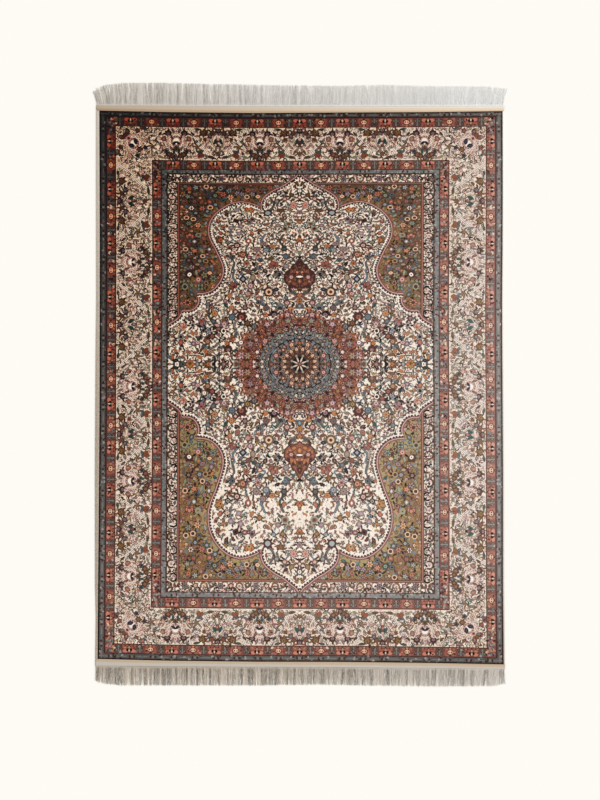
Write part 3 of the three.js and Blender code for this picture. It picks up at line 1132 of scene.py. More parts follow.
CORE_RINGS = read_table("""
form across along count shift long wide turn outer  inner
leaf 15.0   14.4  16    0.5   4.6  2.6  0    peach  brick
rose 17.4   16.8  16    0     1.9  5    0    peach  wine
rose 12.0   11.6  16    0.5   1.5  5    0    salmon umber
leaf 13.2   12.8  16    0     3.8  1.6  0    umber  wine
""")


def draw_rings(chart, table, edge):
    """Flowers and leaves set evenly round ovals, one oval to a row."""
    for row in table:
        pitch = 360 / row.count
        for number in range(-1, int(row.count / 4) + 2):
            turn = (number + row.shift) * pitch
            x = row.across * math.cos(math.radians(turn))
            y = row.along * math.sin(math.radians(turn))
            FORMS[row.form](chart, changed(row, x=x, y=y, turn=turn + row.turn), edge)


def draw_heart(chart):
    """The grey heart, with a blossom in each of its lobes."""
    heart = inside_oval(chart, HEART_REACH)
    for more, silk, depth in ((0.9, "umber", 0.15), (0.0, "ash", 0.2)):
        for across, along, size in HEART_LOBES:
            petals(chart, across, along, size + more, 6, 0, silk, depth)
    chart.cells[heart] = SILK["ash"]
    for across, along, size in HEART_LOBES:
        petals(chart, across, along, size * 0.72, 5, 30, "black", 0.5)
        petals(chart, across, along, size * 0.55, 5, 0, "slate", 0.5)
        oval(chart, across, along, size * 0.22, size * 0.22, 0, "tan")
    draw_rings(chart, HEART_RINGS, "umber")
    strew(chart, 22, 1.7, ("ash",), HEART_LEAVES, 0.7, always, (1.2, 2.4), 0.6)
    line = [
        (HEART_LINE[0] * math.cos(angle), HEART_LINE[1] * math.sin(angle))
        for angle in np.linspace(0, math.pi / 2, 40)
    ]
    stroke(chart, line, 0.55, "black")
    draw_motifs(chart, HEART_MOTIFS, "umber")


def draw_core(chart):
    """The round core, with an eight-pointed star on black."""
    chart.cells[inside_oval(chart, CORE_REACH)] = SILK["brown"]
    draw_rings(chart, CORE_RINGS, "umber")
    strew(chart, 24, 1.8, ("brown",), CORE_LEAVES, 0.7, long=(1.4, 2.4))
    petals(chart, 0, 0, 11.6, 8, 22.5, "umber", 0.12)
    petals(chart, 0, 0, 10.0, 8, 22.5, "wine", 0.15)
    for degrees in STAR_POINTS[:2]:
        oval(chart, *off(0, 0, 8.6, degrees), 1.2, 1.2, 0, "sage")
    oval(chart, 0, 0, 7.4, 7.4, 0, "black")
    for degrees in STAR_POINTS:
        lens(chart, *off(0, 0, 4.6, degrees), 3.2, 0.75, degrees, "blush")
    oval(chart, 0, 0, 1.4, 1.4, 0, "red")


def draw_medallion(chart):
    line = smooth(list(MEDALLION_EDGE), 4)
    inside = inside_line(chart, line + [(0.0, 0.0)])
    ground = chart.cells.copy()
    chart.cells[inside] = SILK["rust"]
    draw_rings(chart, RIM_RINGS, "wine")
    draw_motifs(chart, MEDALLION_MOTIFS, "wine")
    blossom(chart, 23, 3.6, ("rust",), RIM_BLOSSOMS, 0.6, "wine", share=0.62)
    strew(chart, 21, 1.8, ("rust",), RIM_LEAVES, 1.0, always, (1.6, 3.2), 0.6)
    chart.cells[~inside] = ground[~inside]
    beads(chart, shifted(line, 0.4), 2.6, "wine", "brick")
    beads(chart, shifted(line, -1.6), 6.3, "red", "pink")
    draw_heart(chart)
    draw_core(chart)


# Border bands, from the field outwards: where each starts and ends at the side, the foot and the head

BANDS = read_table("""
band  side_in side_out foot_in foot_out head_in head_out silk
line  132.8   133.7    228.2   229.0    189.8   190.4    umber
guard 133.7   138.8    229.0   234.2    190.4   194.4    ash
line  138.8   139.5    234.2   234.9    194.4   195.1    wine
red   139.5   147.6    234.9   244.0    195.1   203.2    maroon
line  147.6   148.6    244.0   244.9    203.2   204.0    umber
main  148.6   184.6    244.9   281.8    204.0   236.6    ivory
line  184.6   185.6    281.8   282.6    236.6   237.3    umber
red   185.6   194.0    282.6   291.2    237.3   246.1    maroon
line  194.0   195.2    291.2   292.0    246.1   247.1    wine
guard 195.2   200.2    292.0   297.0    247.1   251.2    stone
edge  200.2   202.0    297.0   299.0    251.2   253.0    black
""")


def bands_called(name):
    return [row for row in BANDS if row.band == name]


def band_spot(kind, row, along, share):
    """A place on a band: along the border, and its share of the way from the inner edge."""
    inner = getattr(row, kind + "_in")
    outer = getattr(row, kind + "_out")
    place = inner + (outer - inner) * share
    if kind == "side":
        return place, along, 0.0
    if kind == "foot":
        return along, place, 90.0
    return along, -place, -90.0


def band_mask(chart, row, inset=0.0):
    x, y = chart.everywhere()
    outside = (x >= row.side_in + inset) | (y >= row.foot_in + inset) | (-y >= row.head_in + inset)
    beyond = (x >= row.side_out - inset) | (y >= row.foot_out - inset) | (-y >= row.head_out - inset)
    return outside & ~beyond


def unit_parts(kind, row, along, unit, stretch):
    """Each part of a border's repeat and its mirror image, with place, outward way and turning way."""
    for part in unit:
        for way in ((1, -1) if part.s else (1,)):
            x, y, outward = band_spot(kind, row, along + way * part.s * stretch, part.t)
            yield part, x, y, outward, -way if kind == "foot" else way


def draw_unit(chart, kind, row, along, unit, edge, stretch=1.0):
    """A repeat of a border: its table gives a step along and a share across, mirrored about the middle."""
    for part, x, y, outward, way in unit_parts(kind, row, along, unit, stretch):
        if part.form in ("rose", "lotus", "ring") and row.band == "main":
            sprigs(chart, x, y, sprig_reach(part), part.s * 37 + part.t * 230, GARLAND_SPRIGS, outward, way)
    for part, x, y, outward, way in unit_parts(kind, row, along, unit, stretch):
        FORMS[part.form](chart, changed(part, x=x, y=y, turn=outward + way * part.turn), edge)


# The main border's repeats: s is a step along the border and t a share across it

MAIN_ROSETTE = read_table("""
form  s    t    long wide turn outer  inner
whorl 0    0.58 13.0 12   0    taupe  pink
leaf  1.9  0.53 4.0  1.8  -50  navy   black
rose  0    0.36 2.6  6    0    olive  umber
leaf  2.6  0.28 4.6  1.6  20   teal   moss
leaf  5.6  0.36 4.2  1.6  30   taupe  brown
lotus 0    0.07 2.4  5    90   slate  mauve
rose  4.2  0.13 2.2  5    0    maroon olive
rose  7.8  0.17 2.6  5    0    brown  brick
rose  11.0 0.27 2.4  5    0    slate  navy
ring  13.0 0.38 2.2  2.2  0    brick  blush
leaf  13.4 0.65 5.0  4.4  160  brick  pink
lotus 8.8  0.81 3.6  5    0    umber  mauve
leaf  3.4  0.90 5.0  1.6  20   mauve  taupe
leaf  5.0  0.70 4.6  1.4  20   brown  mauve
leaf  21.0 0.56 5.0  1.8  60   stone  sage
leaf  17.0 0.10 5.4  1.8  70   sage   moss
leaf  17.0 0.46 4.6  1.6  10   mauve  taupe
leaf  17.6 0.80 4.6  1.6  140  umber  moss
""")

MAIN_SPADE = read_table("""
form  s    t    long wide turn outer  inner
oval  0    0.60 7.8  7.2  0    taupe  taupe
oval  0    0.60 7.3  6.7  0    blush  blush
oval  0    0.60 6.5  5.9  0    stone  stone
oval  0    0.61 5.8  5.2  0    ivory  ivory
leaf  2.6  0.59 6.6  3.0  -28  teal   black
leaf  0    0.51 5.0  3.0  0    maroon rust
oval  0    0.66 1.8  1.4  0    pink   pink
leaf  2.4  0.34 6.4  1.4  -8   taupe  grey
rose  0    0.20 2.4  5    0    olive  maroon
leaf  5.6  0.24 4.6  1.4  -30  stone  sage
leaf  8.6  0.10 7.6  2.2  82   moss   umber
leaf  9.0  0.40 4.4  1.6  50   mauve  pink
ring  11.6 0.65 2.2  2.2  0    brick  blush
leaf  15.4 0.64 3.6  2.0  150  maroon wine
rose  9.6  0.75 2.6  5    0    slate  mauve
rose  6.4  0.85 2.8  5    0    maroon brown
lotus 0    0.92 3.2  6    180  umber  mauve
lotus 17.4 0.87 4.2  7    200  brown  olive
leaf  24.0 0.95 5.4  2.0  80   teal   moss
tulip 21.4 0.22 8.0  8    200  rust   slate
leaf  18.8 0.27 3.6  2.2  120  slate  steel
leaf  14.0 0.14 5.4  1.8  60   sage   moss
leaf  14.0 0.44 4.6  1.6  -20  pink   taupe
leaf  3.6  0.80 4.0  1.4  -30  taupe  stone
""")

MAIN_CROSSING = read_table("""
form s   t    long wide turn outer inner
rose 0   0.40 2.2  6    0    tan   olive
leaf 3.4 0.62 4    1.4  30   taupe slate
leaf 4.0 0.22 4    1.4  -40  slate sage
leaf 0   0.74 4    1.4  90   mauve pink
""")

# A corner of the main border, from its middle

CORNER = read_table("""
form  x   y   long wide turn outer  inner
vine  -11 11  24   3    135  blush  pink
whorl 0   0   13.0 12   0    taupe  pink
leaf  2   -2  5.4  3.0  10   navy   slate
leaf  -2  2   5.4  3.0  80   navy   slate
rose  -6  -6  3.0  6    0    brown  olive
leaf  8   8   6    3.4  45   brown  maroon
ring  5   5   2.4  2.4  0    pink   brown
rose  13  -4  2.6  5    0    maroon brick
rose  -4  13  2.6  5    0    maroon brick
leaf  12  6   6    4    20   maroon brick
leaf  6   12  6    4    70   maroon brick
ring  -12 4   2.2  2.2  0    brick  blush
ring  4   -12 2.2  2.2  0    brick  blush
rose  -12 -4  2.4  5    0    slate  navy
rose  -4  -12 2.4  5    0    slate  navy
tulip -11 15  7    8    45   maroon slate
tulip 15  -11 7    8    45   maroon slate
""")

CORNERS = (("foot", 167, 263), ("head", 167, -220))
SIDE_ROSETTES = (-101.7, 22.4, 117.8, 213.8)
SIDE_SPADES = (-162.7, -39.6, 70.3, 166.3)
END_ROSETTES = (40, 124)
END_SPADES = (0, 82)
UNIT_REACH = 24.0
RIBBON_START = 9
RIBBON_END = 32


def draw_ribbon(chart, kind, row, start, end):
    """A pale slanting ribbon across the border, with dark edges and a dark middle."""
    spots = []
    for share in np.linspace(0, 1, 12):
        over = 0.02 + 0.96 * (share + 0.06 * math.sin(share * 6.3))
        spots.append(band_spot(kind, row, start + (end - start) * share, over)[:2])
    stroke(chart, spots, 1.6, "taupe")
    stroke(chart, spots, 1.15, "cream")
    stroke(chart, spots, 0.35, "mauve")


def unit_places(rosettes, spades):
    """Every repeat along a border: its place, its table, its stretch, and the crossing after it."""
    places = [(at, MAIN_ROSETTE) for at in rosettes] + [(at, MAIN_SPADE) for at in spades]
    places.sort(key=lambda place: place[0])
    spots = [at for at, unit in places]
    for number, (at, unit) in enumerate(places):
        low = spots[number - 1] if number else at - 2 * UNIT_REACH
        high = spots[number + 1] if number + 1 < len(spots) else at + 2 * UNIT_REACH
        yield at, unit, (high - low) / 4 / UNIT_REACH, (at + high) / 2


def draw_main_border(chart, row):
    runs = (
        ("foot", END_ROSETTES, END_SPADES),
        ("head", END_ROSETTES, END_SPADES),
        ("side", SIDE_ROSETTES, SIDE_SPADES),
    )
    for kind, rosettes, spades in runs:
        places = list(unit_places(rosettes, spades))
        for at, unit, stretch, crossing in places:
            if unit is MAIN_SPADE:
                for way in (-1, 1):
                    start = at + way * RIBBON_START * stretch
                    draw_ribbon(chart, kind, row, start, at + way * RIBBON_END * stretch)
        for at, unit, stretch, crossing in places:
            draw_unit(chart, kind, row, crossing, MAIN_CROSSING, "umber")
        for at, unit, stretch, crossing in places:
            draw_unit(chart, kind, row, at, unit, "umber", stretch)
    for kind, across, along in CORNERS:
        way = 1 if kind == "foot" else -1
        for part in CORNER:
            place = changed(part, x=across + part.x, y=along + way * part.y, turn=part.turn * way)
            FORMS[part.form](chart, place, "umber")
    strew(chart, 33, 3.6, MAIN_GROUND, GARLAND_LEAVES, 0.6, in_main_border, (4.0, 6.4), 0.8, (0.6, 0.95))
    strew(chart, 31, 2.0, MAIN_GROUND, BORDER_LEAVES, 0.9, in_main_border, (2.4, 4.8), 0.55, (0.45, 0.72))
    strew(chart, 32, 1.9, ("ivory",), PALE_LEAVES, 0.6, in_main_border, (2.0, 4.0), 0.5, (0.45, 0.7))


# The red bands' repeats: hearts and ovals in turn, with leaves between

RED_HEART = read_table("""
form s   t    long wide turn outer  inner
oval 0   0.44 3.9  6.9  0    wine   wine
oval 3.8 0.74 1.7  2.5  0    salmon salmon
oval 5.2 0.36 1.5  1.5  0    red    red
oval 2.6 0.36 1.5  1.5  0    red    red
oval 5.8 0.10 0.9  1.2  0    brick  brick
oval 1.9 0.62 1.5  1.1  0    black  black
oval 0   0.72 1.3  0.8  0    blush  blush
oval 0   0.34 1.4  1.0  0    tan    tan
oval 2.2 0.08 0.8  1.6  0    red    red
""")

RED_OVAL = read_table("""
form s   t    long wide turn outer  inner
oval 0   0.50 3.7  6.4  0    wine   wine
oval 4.6 0.60 2.6  1.5  0    red    red
oval 3.2 0.86 0.9  2.2  0    brick  brick
oval 3.4 0.20 1.3  1.6  0    brick  brick
oval 0   0.52 2.5  3.2  0    wine   wine
oval 0   0.52 2.0  2.6  0    peach  peach
oval 1.2 0.54 0.8  0.6  0    umber  umber
oval 0   0.12 0.9  1.2  0    salmon salmon
""")

RED_BETWEEN = read_table("""
form s   t    long wide turn outer inner
leaf 0   0.50 8    3.4  0    ash   slate
leaf 2.0 0.66 3.4  1.4  30   stone sage
leaf 2.2 0.28 3.4  1.4  -30  moss  stone
oval 0   0.50 0.9  0.6  0    mauve mauve
""")

OUTER_HEARTS = (-222, -174, -120, -67, -10, 40, 84, 127, 170, 213, 256)
INNER_HEARTS = (-175, -121, -72, -12, 36, 83, 126, 169, 212)
END_PITCH = 42.5


def draw_red_border(chart, row, hearts):
    """A red band, its hearts at given places along the sides and evenly spaced along the ends."""
    chart.cells[band_mask(chart, row)] = SILK["maroon"]
    ovals = [(low + high) / 2 for low, high in zip(hearts, hearts[1:])]
    joints = sorted(list(hearts) + ovals)
    between = [(low + high) / 2 for low, high in zip(joints, joints[1:])]
    count = int(row.side_in / END_PITCH)
    ends = [number * END_PITCH for number in range(count + 1)]
    halves = [number * END_PITCH / 2 + END_PITCH / 4 for number in range(count * 2 + 2)]
    end_places = (halves, [at + END_PITCH / 2 for at in ends], ends)
    for kind in ("side", "foot", "head"):
        places = (between, ovals, hearts) if kind == "side" else end_places
        for spots, unit in zip(places, (RED_BETWEEN, RED_OVAL, RED_HEART)):
            for at in spots:
                if kind == "side" or at < row.side_in + 2:
                    draw_unit(chart, kind, row, at, unit, "umber")
    strew(chart, 41, 1.9, ("maroon",), RED_LEAVES, 0.95, always, (1.4, 2.6), 0.6)
    strew(chart, 42, 1.7, ("red", "salmon", "brick"), RED_FLECKS, 0.6, always, (1.0, 1.8), 0.8)


# The guard bands' repeat: a step along, half a length, and a share of half the band's width

GUARD_PARTS = (
    (10.0, 5.5, 0.24, "ash"), (-10.0, 5.5, 0.24, "ash"), (2.4, 0.8, 0.6, "umber"), (-2.4, 0.8, 0.6, "umber"),
    (0.0, 0.9, 0.42, "grey"), (0.0, 0.4, 0.2, "umber"),
)
GUARD_HEAD_PITCH = 26
GUARD_FOOT_PITCH = 21.7
GUARD_ACROSS_PITCH = 20.9


def draw_guard_run(chart, row, kind, pitch, end, way=1):
    """Long pale bars in the middle of each run, parted by a light dot between two dark ones."""
    half = abs(getattr(row, kind + "_out") - getattr(row, kind + "_in")) / 2
    for number in range(int(end / pitch) + 1):
        for step, long, wide, silk in GUARD_PARTS:
            x, y, _ = band_spot(kind, row, way * (number * pitch + step), 0.5)
            size = (half * wide, long) if kind == "side" else (long, half * wide)
            oval(chart, x, y, *size, 0, silk)


def draw_guard(chart, row, ground, flecks):
    chart.cells[band_mask(chart, row)] = SILK["umber"]
    chart.cells[band_mask(chart, row, 0.5)] = SILK[ground]
    strew(chart, 51, 1.8, (ground,), flecks, 0.6, always, (1.0, 2.4), 0.4)
    draw_guard_run(chart, row, "side", GUARD_FOOT_PITCH, row.foot_in)
    draw_guard_run(chart, row, "side", GUARD_HEAD_PITCH, row.head_in, -1)
    draw_guard_run(chart, row, "foot", GUARD_ACROSS_PITCH, row.side_in)
    draw_guard_run(chart, row, "head", GUARD_ACROSS_PITCH, row.side_in)


# The whole half

HEAD_PENDANT_ALONG = (74, 117)
HEAD_PENDANT_ACROSS = 16


def darken_head(cells, along):
    """The head half's cells in darker silks, as painted shade for the nap's lean, darker still in the
    pendant.
    """
    dark = cells.copy()
    for pale, shaded in HEAD_SHADE_SILKS:
        dark[cells == SILK[pale]] = SILK[shaded]
    rows = (along > HEAD_PENDANT_ALONG[0]) & (along < HEAD_PENDANT_ALONG[1])
    columns = HEAD_PENDANT_ACROSS * KNOTS
    pendant = dark[rows, :columns]
    darker = pendant.copy()
    for bright, shaded in HEAD_PENDANT_SHADE_SILKS:
        darker[pendant == SILK[bright]] = SILK[shaded]
    dark[rows, :columns] = darker
    return dark


def draw_half():
    """The chart of one half across and the whole length, its head rows first."""
    chart = KnotChart(HALF_COLUMNS, HEAD_ROWS + FOOT_ROWS, -HEAD_ROWS, "ivory")
    quarter = draw_quarter()
    along = (np.arange(chart.rows) + 0.5 - HEAD_ROWS) / KNOTS
    source = np.where(along >= 0, along, np.interp(-along, HEAD_MARKS, FOOT_MARKS))
    drawn = quarter.cells[np.clip((source * KNOTS).astype(int), 0, quarter.rows - 1)]
    # Painted shade: the head half's silks darkened for the nap's lean
    drawn[:HEAD_ROWS] = darken_head(drawn[:HEAD_ROWS], source[:HEAD_ROWS])
    chart.cells[:, :quarter.columns] = drawn
    field_ground = ("ivory", "cream")
    strew(chart, 14, 2.1, field_ground, FIELD_LEAVES, 1.0, in_head_field, (2.4, 4.6), 0.62, (0.5, 0.85))
    strew(chart, 15, 2.0, ("ivory",), HEAD_BORDER_LEAVES, 0.8, in_head_border, (1.8, 3.2), 0.48)
    for row in BANDS:
        chart.cells[band_mask(chart, row)] = SILK[row.silk]
    inner_red, outer_red = bands_called("red")
    inner_guard, outer_guard = bands_called("guard")
    draw_main_border(chart, bands_called("main")[0])
    draw_red_border(chart, outer_red, OUTER_HEARTS)
    draw_red_border(chart, inner_red, INNER_HEARTS)
    draw_guard(chart, outer_guard, "stone", OUTER_GUARD_FLECKS)
    draw_guard(chart, inner_guard, "ash", INNER_GUARD_FLECKS)
    for row in bands_called("line") + bands_called("edge"):
        chart.cells[band_mask(chart, row)] = SILK[row.silk]
    return chart

# Sizes of the cloth, as in the solids, in millimetres before the shift to the frame

MM = 0.001
SHIFT = (-1.708 * MM, -7.780 * MM)
PILE_HEIGHT = 4.4
PILE_EDGE_HEIGHT = 3.3
PILE_EDGE_WIDTH = 7.0
PILE_WAVE = 0.22
WAVE_ACROSS = 410
WAVE_ALONG = 530
HALF_PILE = 695.0
MIDDLE_ROW = 78.0
WEAVE_END = 950
WEAVE_HEIGHT = 1.7
WEAVE_STEP = 1.5
WEAVE_ROWS = 8

# A quad of the cloth's grid holds six rows of four knots, each row as one number in base 32

QUAD_COLUMNS = 4
QUAD_ROWS = 6
DIGIT = 32
KNOT_NUMBERS = (("knots_low", 0), ("knots_high", 3))
SIDE_QUADS = HALF_COLUMNS // QUAD_COLUMNS
FOOT_QUADS = FOOT_ROWS // QUAD_ROWS
HEAD_QUADS = HEAD_ROWS // QUAD_ROWS

# Edges of the pile, the side cords and the flat weave, and tips of the fringes

SIDES = read_table("""
along left_cord left_pile right_pile right_cord
950   -701.4    -690.3    699.3      704.9
700   -701.7    -689.4    699.7      705.2
480   -701.3    -688.6    699.0      704.5
300   -701.0    -688.8    697.2      702.8
120   -703.0    -689.1    697.9      703.4
-45   -704.1    -689.3    699.0      704.6
-300  -705.4    -690.9    700.4      706.0
-480  -705.2    -692.3    700.4      706.0
-690  -704.9    -694.3    700.4      706.1
-800  -702.6    -695.2    701.7      707.4
-950  -704.9    -696.2    703.1      708.6
""")

ENDS = read_table("""
across head_pile head_weave foot_pile foot_weave
-700   952.9     969.6      -938.4    -962.6
-450   947.4     969.0      -944.6    -964.8
-150   944.3     967.4      -948.1    -966.4
150    946.0     967.4      -948.8    -968.0
450    947.4     968.2      -952.2    -970.6
700    950.8     968.8      -957.0    -974.0
""")

HEAD_FRINGE = read_table("""
across tip    lean
-698   1020   -13
-680   1035   -12
-650   1045   -7
-600   1050   -2
-480   1050.5 0
-340   1047   0
-67    1041.5 1
140    1039.8 0
280    1043   0
415    1039.5 0
640    1037.5 4
700    1031   13
""")

FOOT_FRINGE = read_table("""
across tip     lean
-700   -1016   -4
-675   -1026   -2
-620   -1031.5 0
-150   -1032   0
60     -1028.6 0
230    -1032.2 0
480    -1035.3 0
680    -1034   -2
704    -1026   0
""")


def read(table, key, at, column):
    """A column of a table at a place, with straight lines between its rows."""
    rows = sorted(table, key=lambda row: getattr(row, key))
    return np.interp(at, [getattr(row, key) for row in rows], [getattr(row, column) for row in rows])


def side_place(y, column):
    return read(SIDES, "along", y, column)


def end_place(x, column):
    return read(ENDS, "across", x, column)


def to_frame(x, y, z):
    return np.stack([x * MM + SHIFT[0], y * MM + SHIFT[1], z * MM + 0 * x], axis=-1)


# Mesh steps

def start():
    """Object mode, with nothing selected."""
    if bpy.context.mode != "OBJECT":
        bpy.ops.object.mode_set(mode="OBJECT")
    bpy.ops.object.select_all(action="DESELECT")


def named(name):
    """The new primitive with its name."""
    piece = bpy.context.object
    piece.name = name
    piece.data.name = name
    return piece


def values_of(items, name, kind=np.int32, parts=1):
    """One value of every item of a mesh, or a few of each."""
    values = np.empty(len(items) * parts, dtype=kind)
    items.foreach_get(name, values)
    return values.reshape(-1, parts) if parts > 1 else values


def points_of(piece):
    return values_of(piece.data.vertices, "co", np.float32, 3)


def put_points(piece, points):
    piece.data.vertices.foreach_set("co", np.asarray(points, dtype=np.float32).ravel())
    piece.data.update()


def point_attribute(piece, name, values):
    made = piece.data.attributes.new(name, "FLOAT", "POINT")
    made.data.foreach_set("value", np.asarray(values, dtype=np.float32))


def grid(name, columns, rows):
    """A flat grid, and the column and row of each of its points."""
    start()
    bpy.ops.mesh.primitive_grid_add(x_subdivisions=columns, y_subdivisions=rows, size=1)
    piece = named(name)
    places = points_of(piece)
    column = np.rint((places[:, 0] + 0.5) * columns).astype(int)
    row = np.rint((places[:, 1] + 0.5) * rows).astype(int)
    return piece, column, row


def close_below(piece, level=0.0):
    """Walls from the rim of a sheet down to a level, and a face that closes them."""
    start()
    bpy.context.view_layer.objects.active = piece
    piece.select_set(True)
    bpy.ops.object.mode_set(mode="EDIT")
    bpy.ops.mesh.select_mode(type="EDGE")
    bpy.ops.mesh.select_all(action="DESELECT")
    bpy.ops.mesh.select_non_manifold()
    bpy.ops.mesh.extrude_region_move()
    bpy.ops.transform.resize(value=(1, 1, 0))
    bpy.ops.object.mode_set(mode="OBJECT")
    chosen = values_of(piece.data.vertices, "select", bool)
    places = points_of(piece)
    places[chosen, 2] = level
    put_points(piece, places)
    bpy.ops.object.mode_set(mode="EDIT")
    bpy.ops.mesh.edge_face_add()
    bpy.ops.mesh.select_all(action="SELECT")
    bpy.ops.mesh.normals_make_consistent(inside=False)
    bpy.ops.object.mode_set(mode="OBJECT")


# The cloth

def pile_lift(x, y, left, right, foot, head):
    """Height of the pile: rounded at its edges, with a slow wave between them."""
    near = np.minimum(np.minimum(x - left, right - x), np.minimum(y - foot, head - y))
    share = np.clip(near / PILE_EDGE_WIDTH, 0, 1)
    round_edge = np.sqrt(1 - (1 - share) ** 2)
    wave = np.sin(x / WAVE_ACROSS * math.tau) * np.cos(y / WAVE_ALONG * math.tau)
    return PILE_EDGE_HEIGHT + (PILE_HEIGHT - PILE_EDGE_HEIGHT + PILE_WAVE * wave) * round_edge


def cloth_along(x, pile_row):
    """How far along the points of a row are at a place across, and the pile's two ends there."""
    rows = FOOT_QUADS + HEAD_QUADS
    share = np.clip(pile_row, 0, rows)
    foot = end_place(x, "foot_pile")
    head = end_place(x, "head_pile")
    low = foot + (MIDDLE_ROW - foot) * share / FOOT_QUADS
    high = MIDDLE_ROW + (head - MIDDLE_ROW) * (share - FOOT_QUADS) / HEAD_QUADS
    y = np.where(share <= FOOT_QUADS, low, high)
    in_foot = -(pile_row + 1) / WEAVE_ROWS
    in_head = (pile_row - rows - 1) / WEAVE_ROWS
    below = foot - WEAVE_STEP + (end_place(x, "foot_weave") - foot + WEAVE_STEP) * in_foot
    above = head + WEAVE_STEP + (end_place(x, "head_weave") - head - WEAVE_STEP) * in_head
    y = np.where(pile_row < 0, below, y)
    return np.where(pile_row > rows, above, y), foot, head


def cloth_place(column, row):
    """Where a point of the cloth's grid goes, and its share of the way out over the flat weave."""
    side = np.clip(column, 0, 2 * SIDE_QUADS)
    pile_row = row - WEAVE_ROWS - 1
    rows = FOOT_QUADS + HEAD_QUADS
    in_pile = (pile_row >= 0) & (pile_row <= rows)
    y, foot, head = cloth_along((side / SIDE_QUADS - 1) * HALF_PILE, pile_row)
    left = np.where(in_pile, side_place(y, "left_pile"), side_place(y, "left_cord"))
    right = np.where(in_pile, side_place(y, "right_pile"), side_place(y, "right_cord"))
    x = np.where(side <= SIDE_QUADS, left * (1 - side / SIDE_QUADS), right * (side / SIDE_QUADS - 1))
    y, foot, head = cloth_along(x, pile_row)
    z = np.where(in_pile, pile_lift(x, y, left, right, foot, head), WEAVE_HEIGHT)
    woven = np.where(pile_row < 0, -(pile_row + 1) / WEAVE_ROWS, (pile_row - rows - 1) / WEAVE_ROWS)
    return x, y, z, np.clip(woven, 0, 1)


def write_knots(mesh, chart, face_column, face_row, in_pile):
    """Gives each quad of pile the numbers of its six rows of knots, in two attributes of three."""
    whole = np.concatenate([chart.cells[:, ::-1], chart.cells], axis=1)[::-1]
    quads = whole.reshape(FOOT_QUADS + HEAD_QUADS, QUAD_ROWS, 2 * SIDE_QUADS, QUAD_COLUMNS)
    weights = DIGIT ** np.arange(QUAD_COLUMNS)
    numbers = (quads.astype(np.int64) * weights).sum(axis=3)
    for name, first in KNOT_NUMBERS:
        values = np.zeros((len(mesh.polygons), 3), dtype=np.float32)
        for part in range(3):
            values[in_pile, part] = numbers[face_row[in_pile], first + part, face_column[in_pile]]
        made = mesh.attributes.new(name, "FLOAT_VECTOR", "FACE")
        made.data.foreach_set("vector", values.ravel())


# Shares of the flat map's height: the top, then a strip with the back, and the walls on it

MAP_TOP = 0.96
MAP_BACK_START = 0.97
MAP_BACK = 0.02
MAP_WALL = 0.008


def map_flat(piece, corner, on_top):
    """A second UV map in which no faces overlap: the top spread flat, with the back and walls beside it."""
    points = points_of(piece)
    low = points.min(axis=0)
    shares = ((points - low) / (points.max(axis=0) - low))[corner]
    flat = shares[:, :2].copy()
    flat[:, 1] *= MAP_TOP
    below = ~on_top
    flat[below, 1] = MAP_BACK_START + shares[below, 1] * MAP_BACK
    flat[below, 1] += shares[below, 2] * MAP_WALL
    piece.data.uv_layers.new(name="OFBake").data.foreach_set("uv", flat.astype(np.float32).ravel())


def make_cloth(chart):
    """The cloth in one piece: a grid raised to the pile and the flat weave, and closed below."""
    rows = FOOT_QUADS + HEAD_QUADS + 2 * WEAVE_ROWS + 2
    piece, column, row = grid("carpet_cloth", 2 * SIDE_QUADS, rows)
    x, y, z, woven = cloth_place(column, row)
    put_points(piece, to_frame(x, y, z))
    point_attribute(piece, "woven", woven)
    close_below(piece)
    mesh = piece.data
    corner = values_of(mesh.loops, "vertex_index")
    starts = values_of(mesh.polygons, "loop_start")
    face_of = np.repeat(np.arange(len(starts)), values_of(mesh.polygons, "loop_total"))
    point_column = np.full(len(mesh.vertices), -1)
    point_row = np.full(len(mesh.vertices), -1)
    point_column[:len(column)] = column
    point_row[:len(row)] = row
    face_column = np.minimum.reduceat(point_column[corner], starts)
    face_row = np.minimum.reduceat(point_row[corner], starts)
    on_top = (face_column >= 0) & (face_row >= 0)
    pile_row = face_row - WEAVE_ROWS - 1
    pile = on_top & (pile_row >= 0) & (pile_row < FOOT_QUADS + HEAD_QUADS)
    write_knots(mesh, chart, face_column, pile_row, pile)
    within = np.zeros((len(corner), 2), dtype=np.float32)
    within[:, 0] = point_column[corner] - face_column[face_of]
    within[:, 1] = point_row[corner] - face_row[face_of]
    within[~on_top[face_of]] = 0
    mesh.uv_layers.new(name="knot").data.foreach_set("uv", within.ravel())
    map_flat(piece, corner, on_top[face_of])
    for finish_of_part in (pile_finish(), weave_finish(), back_finish()):
        mesh.materials.append(finish_of_part)
    slots = np.where(pile, 0, np.where(on_top, 1, 2)).astype(np.int32)
    mesh.polygons.foreach_set("material_index", slots)
    mesh.polygons.foreach_set("use_smooth", on_top)
    mesh.update()
    return piece


# Node steps

LIGHT = 1.12


def finish(name, roughness, specular):
    """A new finish with its gloss, its tree of nodes and its shader."""
    made = bpy.data.materials.new(name)
    made.use_nodes = True
    shader = made.node_tree.nodes["Principled BSDF"]
    shader.inputs["Roughness"].default_value = roughness
    shader.inputs["Specular IOR Level"].default_value = specular
    return made, made.node_tree, shader


def feed(tree, value, socket):
    """Joins another node's output to a socket, or sets a number or colour on it."""
    if isinstance(value, bpy.types.NodeSocket):
        tree.links.new(value, socket)
    else:
        socket.default_value = value


def node(tree, kind, inputs=None, **settings):
    made = tree.nodes.new("ShaderNode" + kind)
    for name, value in settings.items():
        setattr(made, name, value)
    for name, value in (inputs or {}).items():
        feed(tree, value, made.inputs[name])
    return made


def maths(tree, operation, *values, clamp=False):
    return node(tree, "Math", dict(enumerate(values)), operation=operation, use_clamp=clamp).outputs[0]


def mixed(tree, kind, share, first, second):
    return node(tree, "Mix", {0: share, 6: first, 7: second}, data_type="RGBA", blend_type=kind).outputs[2]


